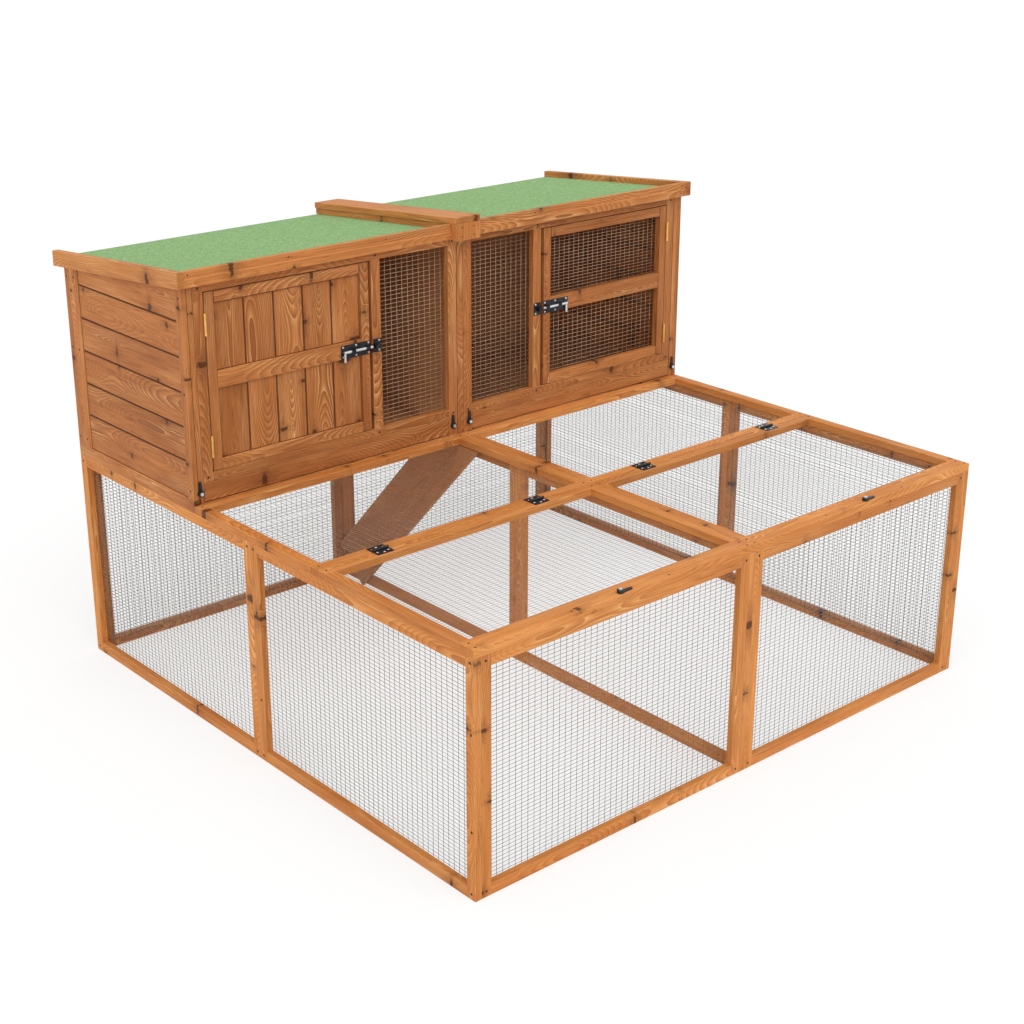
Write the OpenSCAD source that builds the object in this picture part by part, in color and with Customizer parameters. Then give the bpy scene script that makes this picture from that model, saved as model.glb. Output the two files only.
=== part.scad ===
// Two-bay raised hutch with a felt roof, standing at the back of a wire-mesh run with
// lifting lids. Millimetres, +Z up, -Y is the front. The origin is the centre of the
// footprint on the ground. Inside the modules x runs from the left wall's outer face,
// y from the front wall's outer face and z from the ground; placed() moves them to the
// origin. The right half mirrors the left one.

/* [Run] */
// Width of the run and of the hutch
run_w = 1830; // [1700:10:2000]
// Depth of the run, hutch included
run_d = 1766; // [1650:10:1900]
// Height of the run's walls
wall_h = 622; // [540:1:700]
// Width of the run's rails and stiles
rail_w = 30; // [24:1:40]
// Thickness of the run's wall timber
timber_t = 20; // [19:1:24]
// Thickness of the lids and the frames on top of the walls
top_t = 21; // [17:1:26]
// Depth of a lid
lid_d = 564; // [500:1:620]

/* [Hutch] */
// Depth of the hutch
hutch_d = 623; // [580:1:680]
// Height of the base rails under the hutch floor
base_h = 23; // [20:1:30]
// Height of the side base rails over the hutch floor
side_rail_up = 13; // [10:1:18]
// Height of a tray's front board
tray_front_h = 52; // [46:1:70]
// Height of the front frame's bottom rail
sill_h = 24; // [20:1:40]
// Height of the doorways and windows
doorway_h = 488; // [450:1:560]
// Height of the front frame's head rail
head_h = 30; // [26:1:50]
// Width of the corner posts
corner_w = 33; // [31:1:40]
// Width of the stiles of the hutch's front frames
stile_w = 30; // [26:1:38]
// Width of a doorway
doorway_w = 536; // [480:1:570]
// Thickness of the hutch's front timber
front_t = 20; // [18:1:24]
// Width of the centre cover strip
strip_w = 26; // [20:1:34]
// Thickness of the stiles of the end walls
end_t = 15; // [13:1:18]
// Thickness of the wall boards
board_t = 9; // [8:1:12]
// Height of one horizontal wall board with its groove
board_pitch = 94.5; // [80:0.5:110]
// Height of the lowest board of the end walls
first_board = 104; // [90:1:120]
// Width of the groove between boards
groove_w = 1.5; // [1:0.1:3]
// Thickness of the hutch floor
floor_t = 9; // [6:1:12]
// Width of the pop hole in the bedroom's wall
pop_w = 190; // [150:1:220]
// Height of the pop hole
pop_h = 250; // [220:1:300]
// Depth of the ramp's opening in the floor
hole_d = 165; // [150:1:320]
// Width of the ramp's opening in the floor
hole_w = 195; // [170:1:205]

/* [Doors] */
// Gap at a door's free edge
door_gap = 10; // [6:0.5:12]
// Gap at a door's top and bottom
door_play = 1.5; // [1:0.1:3]
// Width of a door's stiles
door_stile = 30; // [24:1:40]
// Height of a door's top rail
door_top = 32; // [24:1:44]
// Height of a door's lock rail
door_lock = 47; // [43:1:60]
// Height of a door's bottom rail
door_bottom = 30; // [24:1:44]
// Height of the panel under the lock rail
door_low_h = 194; // [160:1:230]
// Distance from a door's bottom to its lower hinge
door_hinge_up = 40; // [30:1:50]
// Distance from a door's top to its upper hinge
door_hinge_down = 54; // [40:1:64]
// Number of boards across the solid door
door_boards = 5; // [4:1:7]

/* [Roof] */
// Fall of the roof towards the back, in degrees
roof_pitch = 4.85; // [3:0.05:7]
// Height of the roof's edge boards over the felt
verge_up = 18.5; // [14:0.5:26]
// Height of the roof's edge boards
verge_h = 43.5; // [40:0.5:56]
// Thickness of the fascia and the roof's edge boards
verge_t = 20; // [16:1:26]
// How far the roof passes the back wall
eaves_out = 22; // [14:1:50]
// Thickness of the roof sheets
sheet_t = 11; // [8:0.5:15]
// Thickness of the felt
felt_t = 2.5; // [2:0.1:4]
// Width of the centre cap board
cap_w = 90; // [76:1:110]
// Thickness of the centre cap board
cap_t = 18; // [14:1:24]

/* [Ramp] */
// Width of the ramp board
ramp_w = 163; // [140:1:190]
// Thickness of the ramp board
ramp_t = 12; // [10:1:16]
// Slope at which the ramp leans, in degrees
ramp_slope = 46.5; // [42:0.5:52]
// Height of the ramp's cleats
cleat_t = 8; // [6:1:12]
// Distance between the ramp's cleats
cleat_pitch = 85; // [60:1:120]

/* [Trays] */
// Height of the tray walls
tray_wall_h = 40; // [30:1:44]
// Thickness of the tray sheet
tray_sheet = 1.5; // [1:0.1:3]
// Thickness of a tray's front board
tray_front_t = 15; // [12:1:18]

/* [Hardware] */
// Thickness of a wire of the mesh
wire_t = 1.6; // [1.2:0.1:2.2]
// Distance between the wires of the run's mesh
run_pitch = 68; // [50:1:90]
// Distance between the wires of the hutch's mesh
hutch_pitch = 40; // [32:1:60]
// Radius of a lid hinge's knuckle
knuckle_r = 3.5; // [3:0.1:4.5]
// Length of a lid hinge
lid_hinge_len = 50; // [40:1:60]
// Distance from the outer face to the first lid hinge
hinge_inset = 190; // [150:1:240]
// Distance between the two hinges of a lid
hinge_spread = 522; // [440:1:580]
// Length of a door hinge
door_hinge_len = 60; // [48:1:72]
// Radius of the hinge pins
pin_r = 1.6; // [1.2:0.1:2]
// Radius of a bolt's rod
rod_r = 4; // [3:0.1:4.6]
// Height of a bolt's plate
bolt_plate_h = 38; // [30:1:42]
// Length of a tray button's lever from its pivot
lever_len = 33; // [28:1:38]
// Length of a lid button's lever from its pivot
lid_lever_len = 38; // [30:1:44]
// Distance from the outer face to a lid button's pivot
lid_button_inset = 457; // [400:1:520]
// Distance from the outer face to the outer tray button's pivot
tray_button_inset = 20; // [17:1:22]
// Height of the tray buttons' pivots over the hutch floor
tray_button_up = 30; // [27:1:34]

/* [Hidden] */
$fn = 32;

// Colours of the two timbers and the fittings
run_wood = "#c9803f";
hutch_wood = "#a9693a";
felt_green = "#9dbf8c";
wire_grey = "#b9bcb8";
black_steel = "#26262a";
zinc = "#9aa4a8";
pan_brown = "#6b4a30";
brass = "#c9a24a";

// Gap at the joints between timbers, and seat under loose or moving pieces
joint = 0.4;
seat = 0.3;
// Reach of a cutting block past the faces that it cuts, and overlap inside one piece
past = 1;
// Gap round a lid, and between a lid and the frame behind it
lid_gap = 1;
// Radial play of a leaf or button on its pin
pin_play = 0.08;
// Gap that keeps two crossing wires apart, and lap of a net over its frame
wire_gap = 0.05;
lap = 8;
net_t = 2 * wire_t + wire_gap;
// Thickness of hinge leaves and bolt plates
leaf_t = 1.8;
door_leaf_t = 0.9;
plate_t = 1.5;

mid_x = run_w / 2;
top_z = wall_h + top_t;
lid_y = timber_t + lid_gap;
hinge_y = lid_y + lid_d;
hutch_y = run_d - hutch_d;
bay_l = timber_t;
bay_r = mid_x - timber_t / 2;
total_d = run_d + eaves_out;

// Levels of the hutch
floor_z = wall_h + base_h;
bearer_z = floor_z - floor_t;
end_z = floor_z + side_rail_up;
tray_lift = 3;
tray_head_gap = 1;
tray_z = floor_z + tray_lift;
sill_z = tray_z + tray_front_h + tray_head_gap;
door_z = sill_z + sill_h;
head_z = door_z + doorway_h;
front_top = head_z + head_h;

// Places across the left half of the hutch front
frame_gap = 0.5;
frame_x = corner_w + frame_gap;
doorway_x = frame_x + stile_w;
mid_stile_x = doorway_x + doorway_w;
window_x = mid_stile_x + stile_w;
centre_stile_x = mid_x - strip_w / 2 - stile_w;
front_back = hutch_y + front_t;

// Roof: the line along the top of the edge boards, and what lies under it
roof_y = hutch_y - verge_t;
sheet_low = verge_up + felt_t + sheet_t;
roof_z = front_top + seat + sheet_low + (front_t + verge_t) * tan(roof_pitch);
function roof_line(y) = roof_z - (y - roof_y) * tan(roof_pitch);

// Doors
knuckle_gap = 0.2;
door_leaf_gap = 0.1;
side_gap = 2 * (door_leaf_t + door_leaf_gap);
door_l = doorway_x + side_gap;
door_r = mid_stile_x - door_gap;
door_t = front_t - seat;
door_lo = door_z + door_play;
door_hi = head_z - door_play;
lock_lo = door_lo + door_bottom + door_low_h;
lock_hi = lock_lo + door_lock;
panel_l = door_l + door_stile;
panel_r = door_r - door_stile;
panel_set = 6;
door_pivot = [doorway_x + side_gap / 2, hutch_y - knuckle_r - knuckle_gap];
door_hinge_z = [door_lo + door_hinge_up, door_hi - door_hinge_down - door_hinge_len];
stop_lap = 10;
stop_w = 16;
stop_t = 10;

// Trays
tray_gap_l = 1;
tray_gap_r = 2;
tray_back_gap = 20;
pan_in = 6;
tray_l = corner_w + tray_gap_l;
tray_r = centre_stile_x - tray_gap_r;
tray_back = run_d - timber_t - tray_back_gap;
pan_l = tray_l + pan_in;
// The ramp's opening in the floor, and the left pan's end before it
hole_gap = 2;
hole_in = 8;
hole_rim = 14;
hole_r = mid_x - timber_t - hole_gap;
hole_l = hole_r - hole_w;
hole_y = front_back + hole_in;
pan_r = hole_l - hole_rim;

// Bolts
rod_gap = 0.5;
strap_room = 0.3;
strap_w = 12;
bolt_drop = 4;
bolt_z = lock_lo + door_lock / 2 - bolt_drop;
bolt_y = hutch_y - plate_t - rod_r - rod_gap;
rod_len = 98;
rod_tip_gap = 0.5;
rod_tip = door_r + door_gap / 2 - rod_tip_gap;
bolt_stroke = 16;
tail_r = 3.5;
tail_h = 27;
tail_gap = 2.5;

// Turn buttons
hub_r = 9;
hub_t = 7.5;
hub_gap = 0.8;
shank_r = 2.2;
head_r = 5;
head_t = 2.6;
button_z = floor_z + tray_button_up;
inner_share = 0.6;
inner_button = strip_w / 2 + stile_w * inner_share;
tray_button_x = [tray_button_inset, mid_x - inner_button, mid_x + inner_button,
    run_w - tray_button_inset];
lid_button_x = [lid_button_inset, run_w - lid_button_inset];

// Lid hinges
lid_hinge_x = [hinge_inset, hinge_inset + hinge_spread,
    run_w - hinge_inset - hinge_spread, run_w - hinge_inset];
lid_axis_up = knuckle_r + knuckle_gap;
lid_axis_z = top_z + lid_axis_up;

// Ramp, leaning in the corner of the partition and the rear wall
ramp_r = bay_r - cleat_t;
ramp_l = ramp_r - ramp_t;
ramp_head_gap = 0.3;
ramp_heel_gap = 8;
ramp_top = wall_h - net_t - ramp_head_gap;
ramp_foot = run_d - timber_t - ramp_heel_gap - ramp_w * sin(ramp_slope);

// ---- Helpers ---------------------------------------------------------------

module placed() translate([-run_w / 2, -total_d / 2, 0]) children();

module mirrored() translate([run_w, 0, 0]) mirror([1, 0, 0]) children();

module both_sides() {
    children();
    mirrored() children();
}

// A box from its lowest to its highest corner
module block(lo, hi) translate(lo) cube(hi - lo);

// A frame whose opening runs along one axis: 0 is x, 1 is y and 2 is z
module frame(lo, hi, w, axis) {
    cut = [for (i = [0:2]) i == axis ? -past : w];
    difference() {
        block(lo, hi);
        block(lo + cut, hi - cut);
    }
}

// An outline in the yz plane, drawn out from x0 to x1
module drawn_x(x0, x1, outline)
    translate([x0, 0, 0]) rotate([90, 0, 90]) linear_extrude(x1 - x0) polygon(outline);

// A board under or on the roof's slope, between two heights over the roof line
module roof_slab(x0, x1, y0, y1, lo, hi) drawn_x(x0, x1, [
    [y0, roof_line(y0) + lo], [y1, roof_line(y1) + lo],
    [y1, roof_line(y1) + hi], [y0, roof_line(y0) + hi]
]);

// What lies under the roof sheets
module under_roof() intersection() {
    children();
    drawn_x(-past, run_w + past, [
        [roof_y, 0], [total_d, 0],
        [total_d, roof_line(total_d) - sheet_low - seat],
        [roof_y, roof_line(roof_y) - sheet_low - seat]
    ]);
}

// A welded net in the local xy plane: one layer of wires lies across the other
module net(size, pitch) {
    nx = max(2, round(size.x / pitch));
    ny = max(2, round(size.y / pitch));
    for (i = [0:nx]) translate([i * (size.x - wire_t) / nx, 0, 0])
        cube([wire_t, size.y, wire_t]);
    for (i = [0:ny]) translate([0, i * (size.y - wire_t) / ny, wire_t + wire_gap])
        cube([size.x, wire_t, wire_t]);
}

// A net that lies on the +x side of a face, size is [along y, along z]
module net_x(lo, size, pitch) translate(lo)
    multmatrix([[0, 0, 1, 0], [1, 0, 0, 0], [0, 1, 0, 0], [0, 0, 0, 1]]) net(size, pitch);

// A net that lies on the -y side of a face, or on its +y side
module net_y(lo, size, pitch, behind) translate(lo)
    rotate([90, 0, 0]) mirror([0, 0, behind ? 1 : 0]) net(size, pitch);

// ---- Run walls -------------------------------------------------------------

bay_frame_l = bay_l + joint;
bay_frame_r = bay_r - joint;
net_in = rail_w - lap;

module wall_frames_x(x) {
    frame([x, 0, 0], [x + timber_t, run_d / 2 - joint / 2, wall_h], rail_w, 0);
    frame([x, run_d / 2 + joint / 2, 0], [x + timber_t, run_d, wall_h], rail_w, 0);
}

module wall_frames_y(y) both_sides()
    frame([bay_frame_l, y, 0], [bay_frame_r, y + timber_t, wall_h], rail_w, 1);

module wall_nets_x(x)
    for (y = [net_in, run_d / 2 + net_in])
        net_x([x, y, net_in], [run_d / 2 - 2 * net_in, wall_h - 2 * net_in], run_pitch);

module wall_nets_y(y, behind) both_sides()
    net_y([bay_frame_l + net_in, y, net_in],
        [bay_frame_r - bay_frame_l - 2 * net_in, wall_h - 2 * net_in], run_pitch, behind);

module left_wall_frames() color(run_wood) wall_frames_x(0);
module right_wall_frames() color(run_wood) wall_frames_x(run_w - timber_t);
module front_wall_frames() color(run_wood) wall_frames_y(0);
module rear_wall_frames() color(run_wood) wall_frames_y(run_d - timber_t);
module partition_frames() color(run_wood) wall_frames_x(bay_r);

module left_wall_nets() color(wire_grey) wall_nets_x(timber_t);
module right_wall_nets() color(wire_grey) mirrored() wall_nets_x(timber_t);
module front_wall_nets() color(wire_grey) wall_nets_y(timber_t, true);
module rear_wall_nets() color(wire_grey) wall_nets_y(run_d - timber_t, false);

// ---- Frames on top of the run ----------------------------------------------

strip_y = hinge_y + lid_gap;
strip_back = hutch_y - joint;
lid_back = hinge_y - lid_gap;

module front_top_rail() color(run_wood)
    block([0, 0, wall_h], [run_w, timber_t, top_z]);

module top_strip_frames() color(run_wood) both_sides()
    frame([0, strip_y, wall_h], [mid_x - joint, strip_back, top_z], rail_w, 2);

// A net under the opening of a top frame in the left bay
module top_net(y_from, y_to, z) translate([net_in, y_from + net_in, z])
    mirror([0, 0, 1]) net([mid_x - joint - 2 * net_in, y_to - y_from - 2 * net_in], run_pitch);

module top_strip_nets() color(wire_grey) both_sides() top_net(strip_y, strip_back, wall_h);

module lid_frame()
    frame([0, lid_y, wall_h + seat], [mid_x - joint, lid_back, top_z], rail_w, 2);

module left_lid_frame() color(run_wood) lid_frame();
module right_lid_frame() color(run_wood) mirrored() lid_frame();
module left_lid_net() color(wire_grey) top_net(lid_y, lid_back, wall_h + seat);
module right_lid_net() color(wire_grey) mirrored() top_net(lid_y, lid_back, wall_h + seat);

// ---- Lid hinges, with the pin along x at the origin ------------------------

leaf_reach = lid_hinge_len / 2;
knuckle_len = lid_hinge_len / 3;
leaf_clear = 0.6;
leaf_from = knuckle_r + leaf_clear;

module rod_x(x0, x1, r) translate([x0, 0, 0]) rotate([0, 90, 0]) cylinder(r = r, h = x1 - x0);

module lid_leaf(x0, x1) {
    rod_x(x0, x1, knuckle_r);
    block([x0, 0, -lid_axis_up], [x1, leaf_from + past, leaf_t - lid_axis_up]);
}

module lid_leaf_plate()
    block([0, leaf_from, -lid_axis_up], [lid_hinge_len, leaf_reach, leaf_t - lid_axis_up]);

module lid_fixed_leaf() {
    lid_leaf_plate();
    lid_leaf(0, knuckle_len - seat);
    lid_leaf(2 * knuckle_len + seat, lid_hinge_len);
    rod_x(0, lid_hinge_len, pin_r);
}

module lid_moving_leaf() mirror([0, 1, 0]) difference() {
    union() {
        lid_leaf_plate();
        lid_leaf(knuckle_len, 2 * knuckle_len);
    }
    rod_x(-past, lid_hinge_len + past, pin_r + pin_play);
}

module at_lid_hinge(i)
    translate([lid_hinge_x[i] - lid_hinge_len / 2, hinge_y, lid_axis_z]) children();

module lid_hinge_fixed_leaves() color(black_steel)
    for (i = [0:3]) at_lid_hinge(i) lid_fixed_leaf();
module left_lid_hinge_leaves() color(black_steel)
    for (i = [0, 1]) at_lid_hinge(i) lid_moving_leaf();
module right_lid_hinge_leaves() color(black_steel)
    for (i = [2, 3]) at_lid_hinge(i) lid_moving_leaf();

// ---- Turn buttons, with the pivot along z ----------------------------------

// Half widths of the lever at its root, its neck and its tip, and the tip's length
lever_root = 6;
lever_neck = 3.5;
lever_tip = 1.5;
tip_len = 4;

module turn_button(len) difference() {
    union() {
        cylinder(r = hub_r, h = hub_t);
        linear_extrude(hub_t / 2) polygon([
            [0, -lever_root], [len - tip_len, -lever_neck], [len, -lever_tip],
            [len, lever_tip], [len - tip_len, lever_neck], [0, lever_root]
        ]);
    }
    translate([0, 0, -past]) cylinder(r = shank_r + pin_play, h = hub_t + 2 * past);
}

module pivot_screw() {
    cylinder(r = shank_r, h = hub_gap + hub_t + past);
    translate([0, 0, hub_gap + hub_t + seat]) cylinder(r = head_r, h = head_t);
}

module at_lid_button(i) translate([lid_button_x[i], timber_t / 2, top_z]) children();

// On the hutch front the pivot stands out of the timber towards -y
module at_tray_button(i)
    translate([tray_button_x[i], hutch_y, button_z]) rotate([90, 0, 0]) children();

module lid_button(i) color(black_steel) at_lid_button(i)
    translate([0, 0, hub_gap]) turn_button(lid_lever_len);
module tray_button(i) color(black_steel) at_tray_button(i)
    translate([0, 0, hub_gap]) rotate([0, 0, 90]) turn_button(lever_len);

module left_lid_button() lid_button(0);
module right_lid_button() lid_button(1);
module tray_button_a() tray_button(0);
module tray_button_b() tray_button(1);
module tray_button_c() tray_button(2);
module tray_button_d() tray_button(3);

module pivot_screws() color(zinc) {
    for (i = [0, 1]) at_lid_button(i) pivot_screw();
    for (i = [0:3]) at_tray_button(i) pivot_screw();
}

// ---- Hutch base ------------------------------------------------------------

ledger_w = 20;
ledger_z = bearer_z - joint / 2;

module hutch_base_rails() color(hutch_wood) {
    both_sides() {
        block([0, hutch_y, wall_h], [timber_t, run_d, end_z]);
        block([timber_t + joint, front_back + joint, wall_h],
            [timber_t + ledger_w, run_d - timber_t - joint, ledger_z]);
    }
    for (y = [hutch_y, run_d - timber_t])
        block([timber_t + joint, y, wall_h], [run_w - timber_t - joint,
            y == hutch_y ? front_back : run_d, floor_z]);
    block([mid_x - timber_t, front_back + joint, wall_h],
        [mid_x + timber_t, run_d - timber_t - joint, ledger_z]);
}

module floor_panel() block([timber_t + joint, front_back + joint, bearer_z],
    [mid_x - joint, run_d - timber_t - joint, floor_z]);

module hutch_floor_panels() color(hutch_wood) {
    difference() {
        floor_panel();
        block([hole_l, hole_y, bearer_z - past], [hole_r, hole_y + hole_d, floor_z + past]);
    }
    mirrored() floor_panel();
}

// ---- Hutch front -----------------------------------------------------------

// A left corner post, notched at its foot over the side base rail
module notched() difference() {
    children();
    block([0, hutch_y - past, floor_z - past], [timber_t + joint, run_d + past, end_z + joint]);
}

// Two corner posts, and the cover strip between the two front frames
module front_posts() color(hutch_wood) {
    both_sides() notched() block([end_t + joint / 2, hutch_y, floor_z],
        [corner_w, front_back, front_top]);
    block([mid_x - strip_w / 2 + joint / 2, hutch_y, floor_z],
        [mid_x + strip_w / 2 - joint / 2, front_back, front_top]);
}

// The left front frame with its long centre stile and the door's stop batten
module front_frame() {
    difference() {
        block([frame_x, hutch_y, sill_z], [centre_stile_x + stile_w, front_back, front_top]);
        for (x = [[doorway_x, mid_stile_x], [window_x, centre_stile_x]])
            block([x[0], hutch_y - past, door_z], [x[1], front_back + past, head_z]);
    }
    block([centre_stile_x, hutch_y, floor_z], [centre_stile_x + stile_w, front_back, sill_z]);
    block([door_r - stop_lap, front_back, door_lo],
        [mid_stile_x + stop_w - stop_lap, front_back + stop_t, door_hi]);
}

module left_front_frame() color(hutch_wood) front_frame();
module right_front_frame() color(hutch_wood) mirrored() front_frame();

module window_nets() color(wire_grey) both_sides()
    net_y([window_x - lap, front_back, door_z - lap],
        [centre_stile_x - window_x + 2 * lap, doorway_h + 2 * lap], hutch_pitch, true);

// ---- Hutch ends, back and inner walls --------------------------------------

end_front_w = 29;
end_back_w = 71;
corner_back_w = 26;
board_set = 3;

module end_stiles() color(hutch_wood) under_roof() both_sides() {
    block([0, hutch_y, end_z], [end_t, hutch_y + end_front_w, roof_z]);
    block([0, run_d - end_back_w, end_z], [end_t, run_d - corner_back_w, roof_z]);
    block([0, run_d - corner_back_w + joint, end_z], [end_t, run_d, roof_z]);
}

module end_boards() color(hutch_wood) under_roof() both_sides() {
    count = ceil((front_top - end_z - first_board) / board_pitch);
    for (i = [0:count])
        block([board_set, hutch_y + end_front_w + joint,
                i == 0 ? end_z : end_z + first_board + (i - 1) * board_pitch],
            [board_set + board_t, run_d - end_back_w - joint,
                end_z + first_board + i * board_pitch - groove_w]);
}

back_stile_w = 30;
back_set = 4;

module back_stiles() color(hutch_wood) under_roof() {
    both_sides() notched() block([end_t + joint / 2, run_d - timber_t, floor_z],
        [end_t + back_stile_w, run_d, roof_z]);
    block([mid_x - back_stile_w / 2, run_d - timber_t, floor_z],
        [mid_x + back_stile_w / 2, run_d, roof_z]);
}

module back_boards() color(hutch_wood) under_roof() both_sides() {
    count = ceil((front_top - floor_z) / board_pitch);
    for (i = [0:count - 1])
        block([end_t + back_stile_w + joint, run_d - timber_t + back_set,
                floor_z + i * board_pitch],
            [mid_x - back_stile_w / 2 - joint, run_d - timber_t + back_set + board_t,
                floor_z + (i + 1) * board_pitch - groove_w]);
}

divider_in = 10;
divider_gap = 6;
pop_sill = 12;
divider_x = mid_stile_x + divider_in;
divider_z = floor_z + tray_wall_h + divider_gap;
pop_y = hutch_y + hutch_d / 2;
pop_z = divider_z + pop_sill;

// The bedroom's wall with its arched pop hole, and the wall between the two bays
module inner_walls() color(hutch_wood) under_roof() {
    difference() {
        block([divider_x, front_back, divider_z],
            [divider_x + board_t, run_d - timber_t, roof_z]);
        translate([divider_x - past, pop_y, pop_z]) {
            block([0, -pop_w / 2, 0], [board_t + 2 * past, pop_w / 2, pop_h - pop_w / 2]);
            translate([0, 0, pop_h - pop_w / 2]) rod_x(0, board_t + 2 * past, pop_w / 2);
        }
    }
    block([mid_x - board_t / 2, front_back, floor_z],
        [mid_x + board_t / 2, run_d - timber_t, roof_z]);
}

// ---- Doors -----------------------------------------------------------------

module door_frame() difference() {
    block([door_l, hutch_y, door_lo], [door_r, hutch_y + door_t, door_hi]);
    for (z = [[door_lo + door_bottom, lock_lo], [lock_hi, door_hi - door_top]])
        block([panel_l, hutch_y - past, z[0]], [panel_r, front_back + past, z[1]]);
}

module left_door_frame() color(hutch_wood) door_frame();
module right_door_frame() color(hutch_wood) mirrored() door_frame();

// Upright boards that fill an opening of the solid door
module door_panel(z_from, z_to) {
    step = (panel_r - panel_l) / door_boards;
    for (i = [0:door_boards - 1])
        block([panel_l + i * step, hutch_y + panel_set, z_from],
            [panel_l + (i + 1) * step - (i < door_boards - 1 ? groove_w : 0),
                hutch_y + panel_set + board_t, z_to]);
}

module left_door_boards() color(hutch_wood) {
    door_panel(door_lo + door_bottom, lock_lo);
    door_panel(lock_hi, door_hi - door_top);
}

module right_door_nets() color(wire_grey) mirrored()
    for (z = [[door_lo + door_bottom, lock_lo], [lock_hi, door_hi - door_top]])
        net_y([panel_l - lap, hutch_y + door_t, z[0] - lap],
            [panel_r - panel_l + 2 * lap, z[1] - z[0] + 2 * lap], hutch_pitch, true);

// ---- Door hinges, with the pin along z at the origin -----------------------

door_leaf_y = 16;
door_knuckle = door_hinge_len / 3;

module rod_z(z0, z1, r) translate([0, 0, z0]) cylinder(r = r, h = z1 - z0);

// The leaf is thin and lies in the gap beside the door
module door_fixed_leaf() {
    x0 = -door_leaf_t - door_leaf_gap;
    for (z = [[0, door_knuckle - seat], [2 * door_knuckle + seat, door_hinge_len]]) {
        rod_z(z[0], z[1], knuckle_r);
        block([x0, 0, z[0]], [-door_leaf_gap, leaf_from + past, z[1]]);
    }
    block([x0, leaf_from, 0], [-door_leaf_gap, door_leaf_y, door_hinge_len]);
    rod_z(0, door_hinge_len, pin_r);
}

module door_moving_leaf() difference() {
    union() {
        rod_z(door_knuckle, 2 * door_knuckle, knuckle_r);
        block([door_leaf_gap, 0, door_knuckle],
            [door_leaf_gap + door_leaf_t, leaf_from + past, 2 * door_knuckle]);
        block([door_leaf_gap, leaf_from, 0],
            [door_leaf_gap + door_leaf_t, door_leaf_y, door_hinge_len]);
    }
    rod_z(-past, door_hinge_len + past, pin_r + pin_play);
}

module at_door_hinges() for (z = door_hinge_z)
    translate([door_pivot.x, door_pivot.y, z]) children();

module door_hinge_frame_leaves() color(brass) both_sides()
    at_door_hinges() door_fixed_leaf();
module left_door_hinge_leaves() color(brass) at_door_hinges() door_moving_leaf();
module right_door_hinge_leaves() color(brass) mirrored() at_door_hinges() door_moving_leaf();

// ---- Bolts -----------------------------------------------------------------

// A square strap that bridges the rod, standing on a plate
module strap(x) {
    room = rod_r + strap_room;
    difference() {
        block([x, bolt_y - room - plate_t, bolt_z - room - plate_t],
            [x + strap_w, hutch_y - plate_t, bolt_z + room + plate_t]);
        block([x - past, bolt_y - room, bolt_z - room],
            [x + strap_w + past, hutch_y - plate_t, bolt_z + room]);
    }
}

module bolt_plate(x0, x1) block([x0, hutch_y - plate_t, bolt_z - bolt_plate_h / 2],
    [x1, hutch_y, bolt_z + bolt_plate_h / 2]);

plate_past = 6;
plate_in = 2;
strap_in = 4;

// The far strap stops the tail at the end of its stroke
module bolt_case() {
    bolt_plate(rod_tip - rod_len - plate_past, door_r - plate_in);
    strap(door_r - plate_in - strap_in - strap_w);
    strap(rod_tip - rod_len + 2 * tail_r + bolt_stroke + tail_gap);
}

module bolt_rod() translate([rod_tip - rod_len, bolt_y, bolt_z]) {
    rod_x(0, rod_len, rod_r);
    translate([tail_r, 0, 0]) rod_z(-tail_h, 0, tail_r);
}

keeper_in = 1;
keeper_strap_in = 3;

module bolt_keeper() {
    bolt_plate(mid_stile_x + keeper_in, window_x - keeper_in);
    strap(mid_stile_x + keeper_strap_in);
}

module left_bolt_case() color(zinc) bolt_case();
module left_bolt_rod() color(zinc) bolt_rod();
module right_bolt_case() color(zinc) mirrored() bolt_case();
module right_bolt_rod() color(zinc) mirrored() bolt_rod();
module bolt_keepers() color(zinc) both_sides() bolt_keeper();

// ---- Trays -----------------------------------------------------------------

pan_y = hutch_y + tray_front_t;

module tray_front()
    block([tray_l, hutch_y, tray_z], [tray_r, pan_y, tray_z + tray_front_h]);

module tray_pan(x_to) difference() {
    block([pan_l, pan_y, floor_z + seat], [x_to, tray_back, floor_z + tray_wall_h]);
    block([pan_l + tray_sheet, pan_y + tray_sheet, floor_z + seat + tray_sheet],
        [x_to - tray_sheet, tray_back - tray_sheet, floor_z + tray_wall_h + past]);
}

module left_tray_front() color(hutch_wood) tray_front();
module right_tray_front() color(hutch_wood) mirrored() tray_front();
module left_tray_pan() color(pan_brown) tray_pan(pan_r);
module right_tray_pan() color(pan_brown) mirrored() tray_pan(tray_r - pan_in);

// ---- Roof ------------------------------------------------------------------

sheet_in = 8;
fascia_lip = 3;
fascia_lap = 8;
cap_drop = 4;
sheet_back = total_d - sheet_in;
fascia_low = front_top - fascia_lap;
cap_nose = 20;
batten_w = 20;
batten_in = 4;

module roof_layer(lo, hi) both_sides()
    roof_slab(joint, mid_x - joint, hutch_y + joint, sheet_back, lo, hi);

module roof_sheets() color(hutch_wood) roof_layer(-sheet_low, -verge_up - felt_t);
module roof_felts() color(felt_green) roof_layer(-verge_up - felt_t, -verge_up);

module fascia_board() color(hutch_wood) {
    step_z = (fascia_low + roof_z) / 2;
    drawn_x(0, run_w, [
        [roof_y, fascia_low], [hutch_y, fascia_low],
        [hutch_y, roof_line(hutch_y) - seat],
        [roof_y + fascia_lip, roof_line(roof_y + fascia_lip) - seat],
        [roof_y + fascia_lip, step_z], [roof_y, step_z]
    ]);
}

module verge_boards() color(hutch_wood) both_sides()
    roof_slab(-verge_t, 0, roof_y, total_d, -verge_h, 0);

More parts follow.
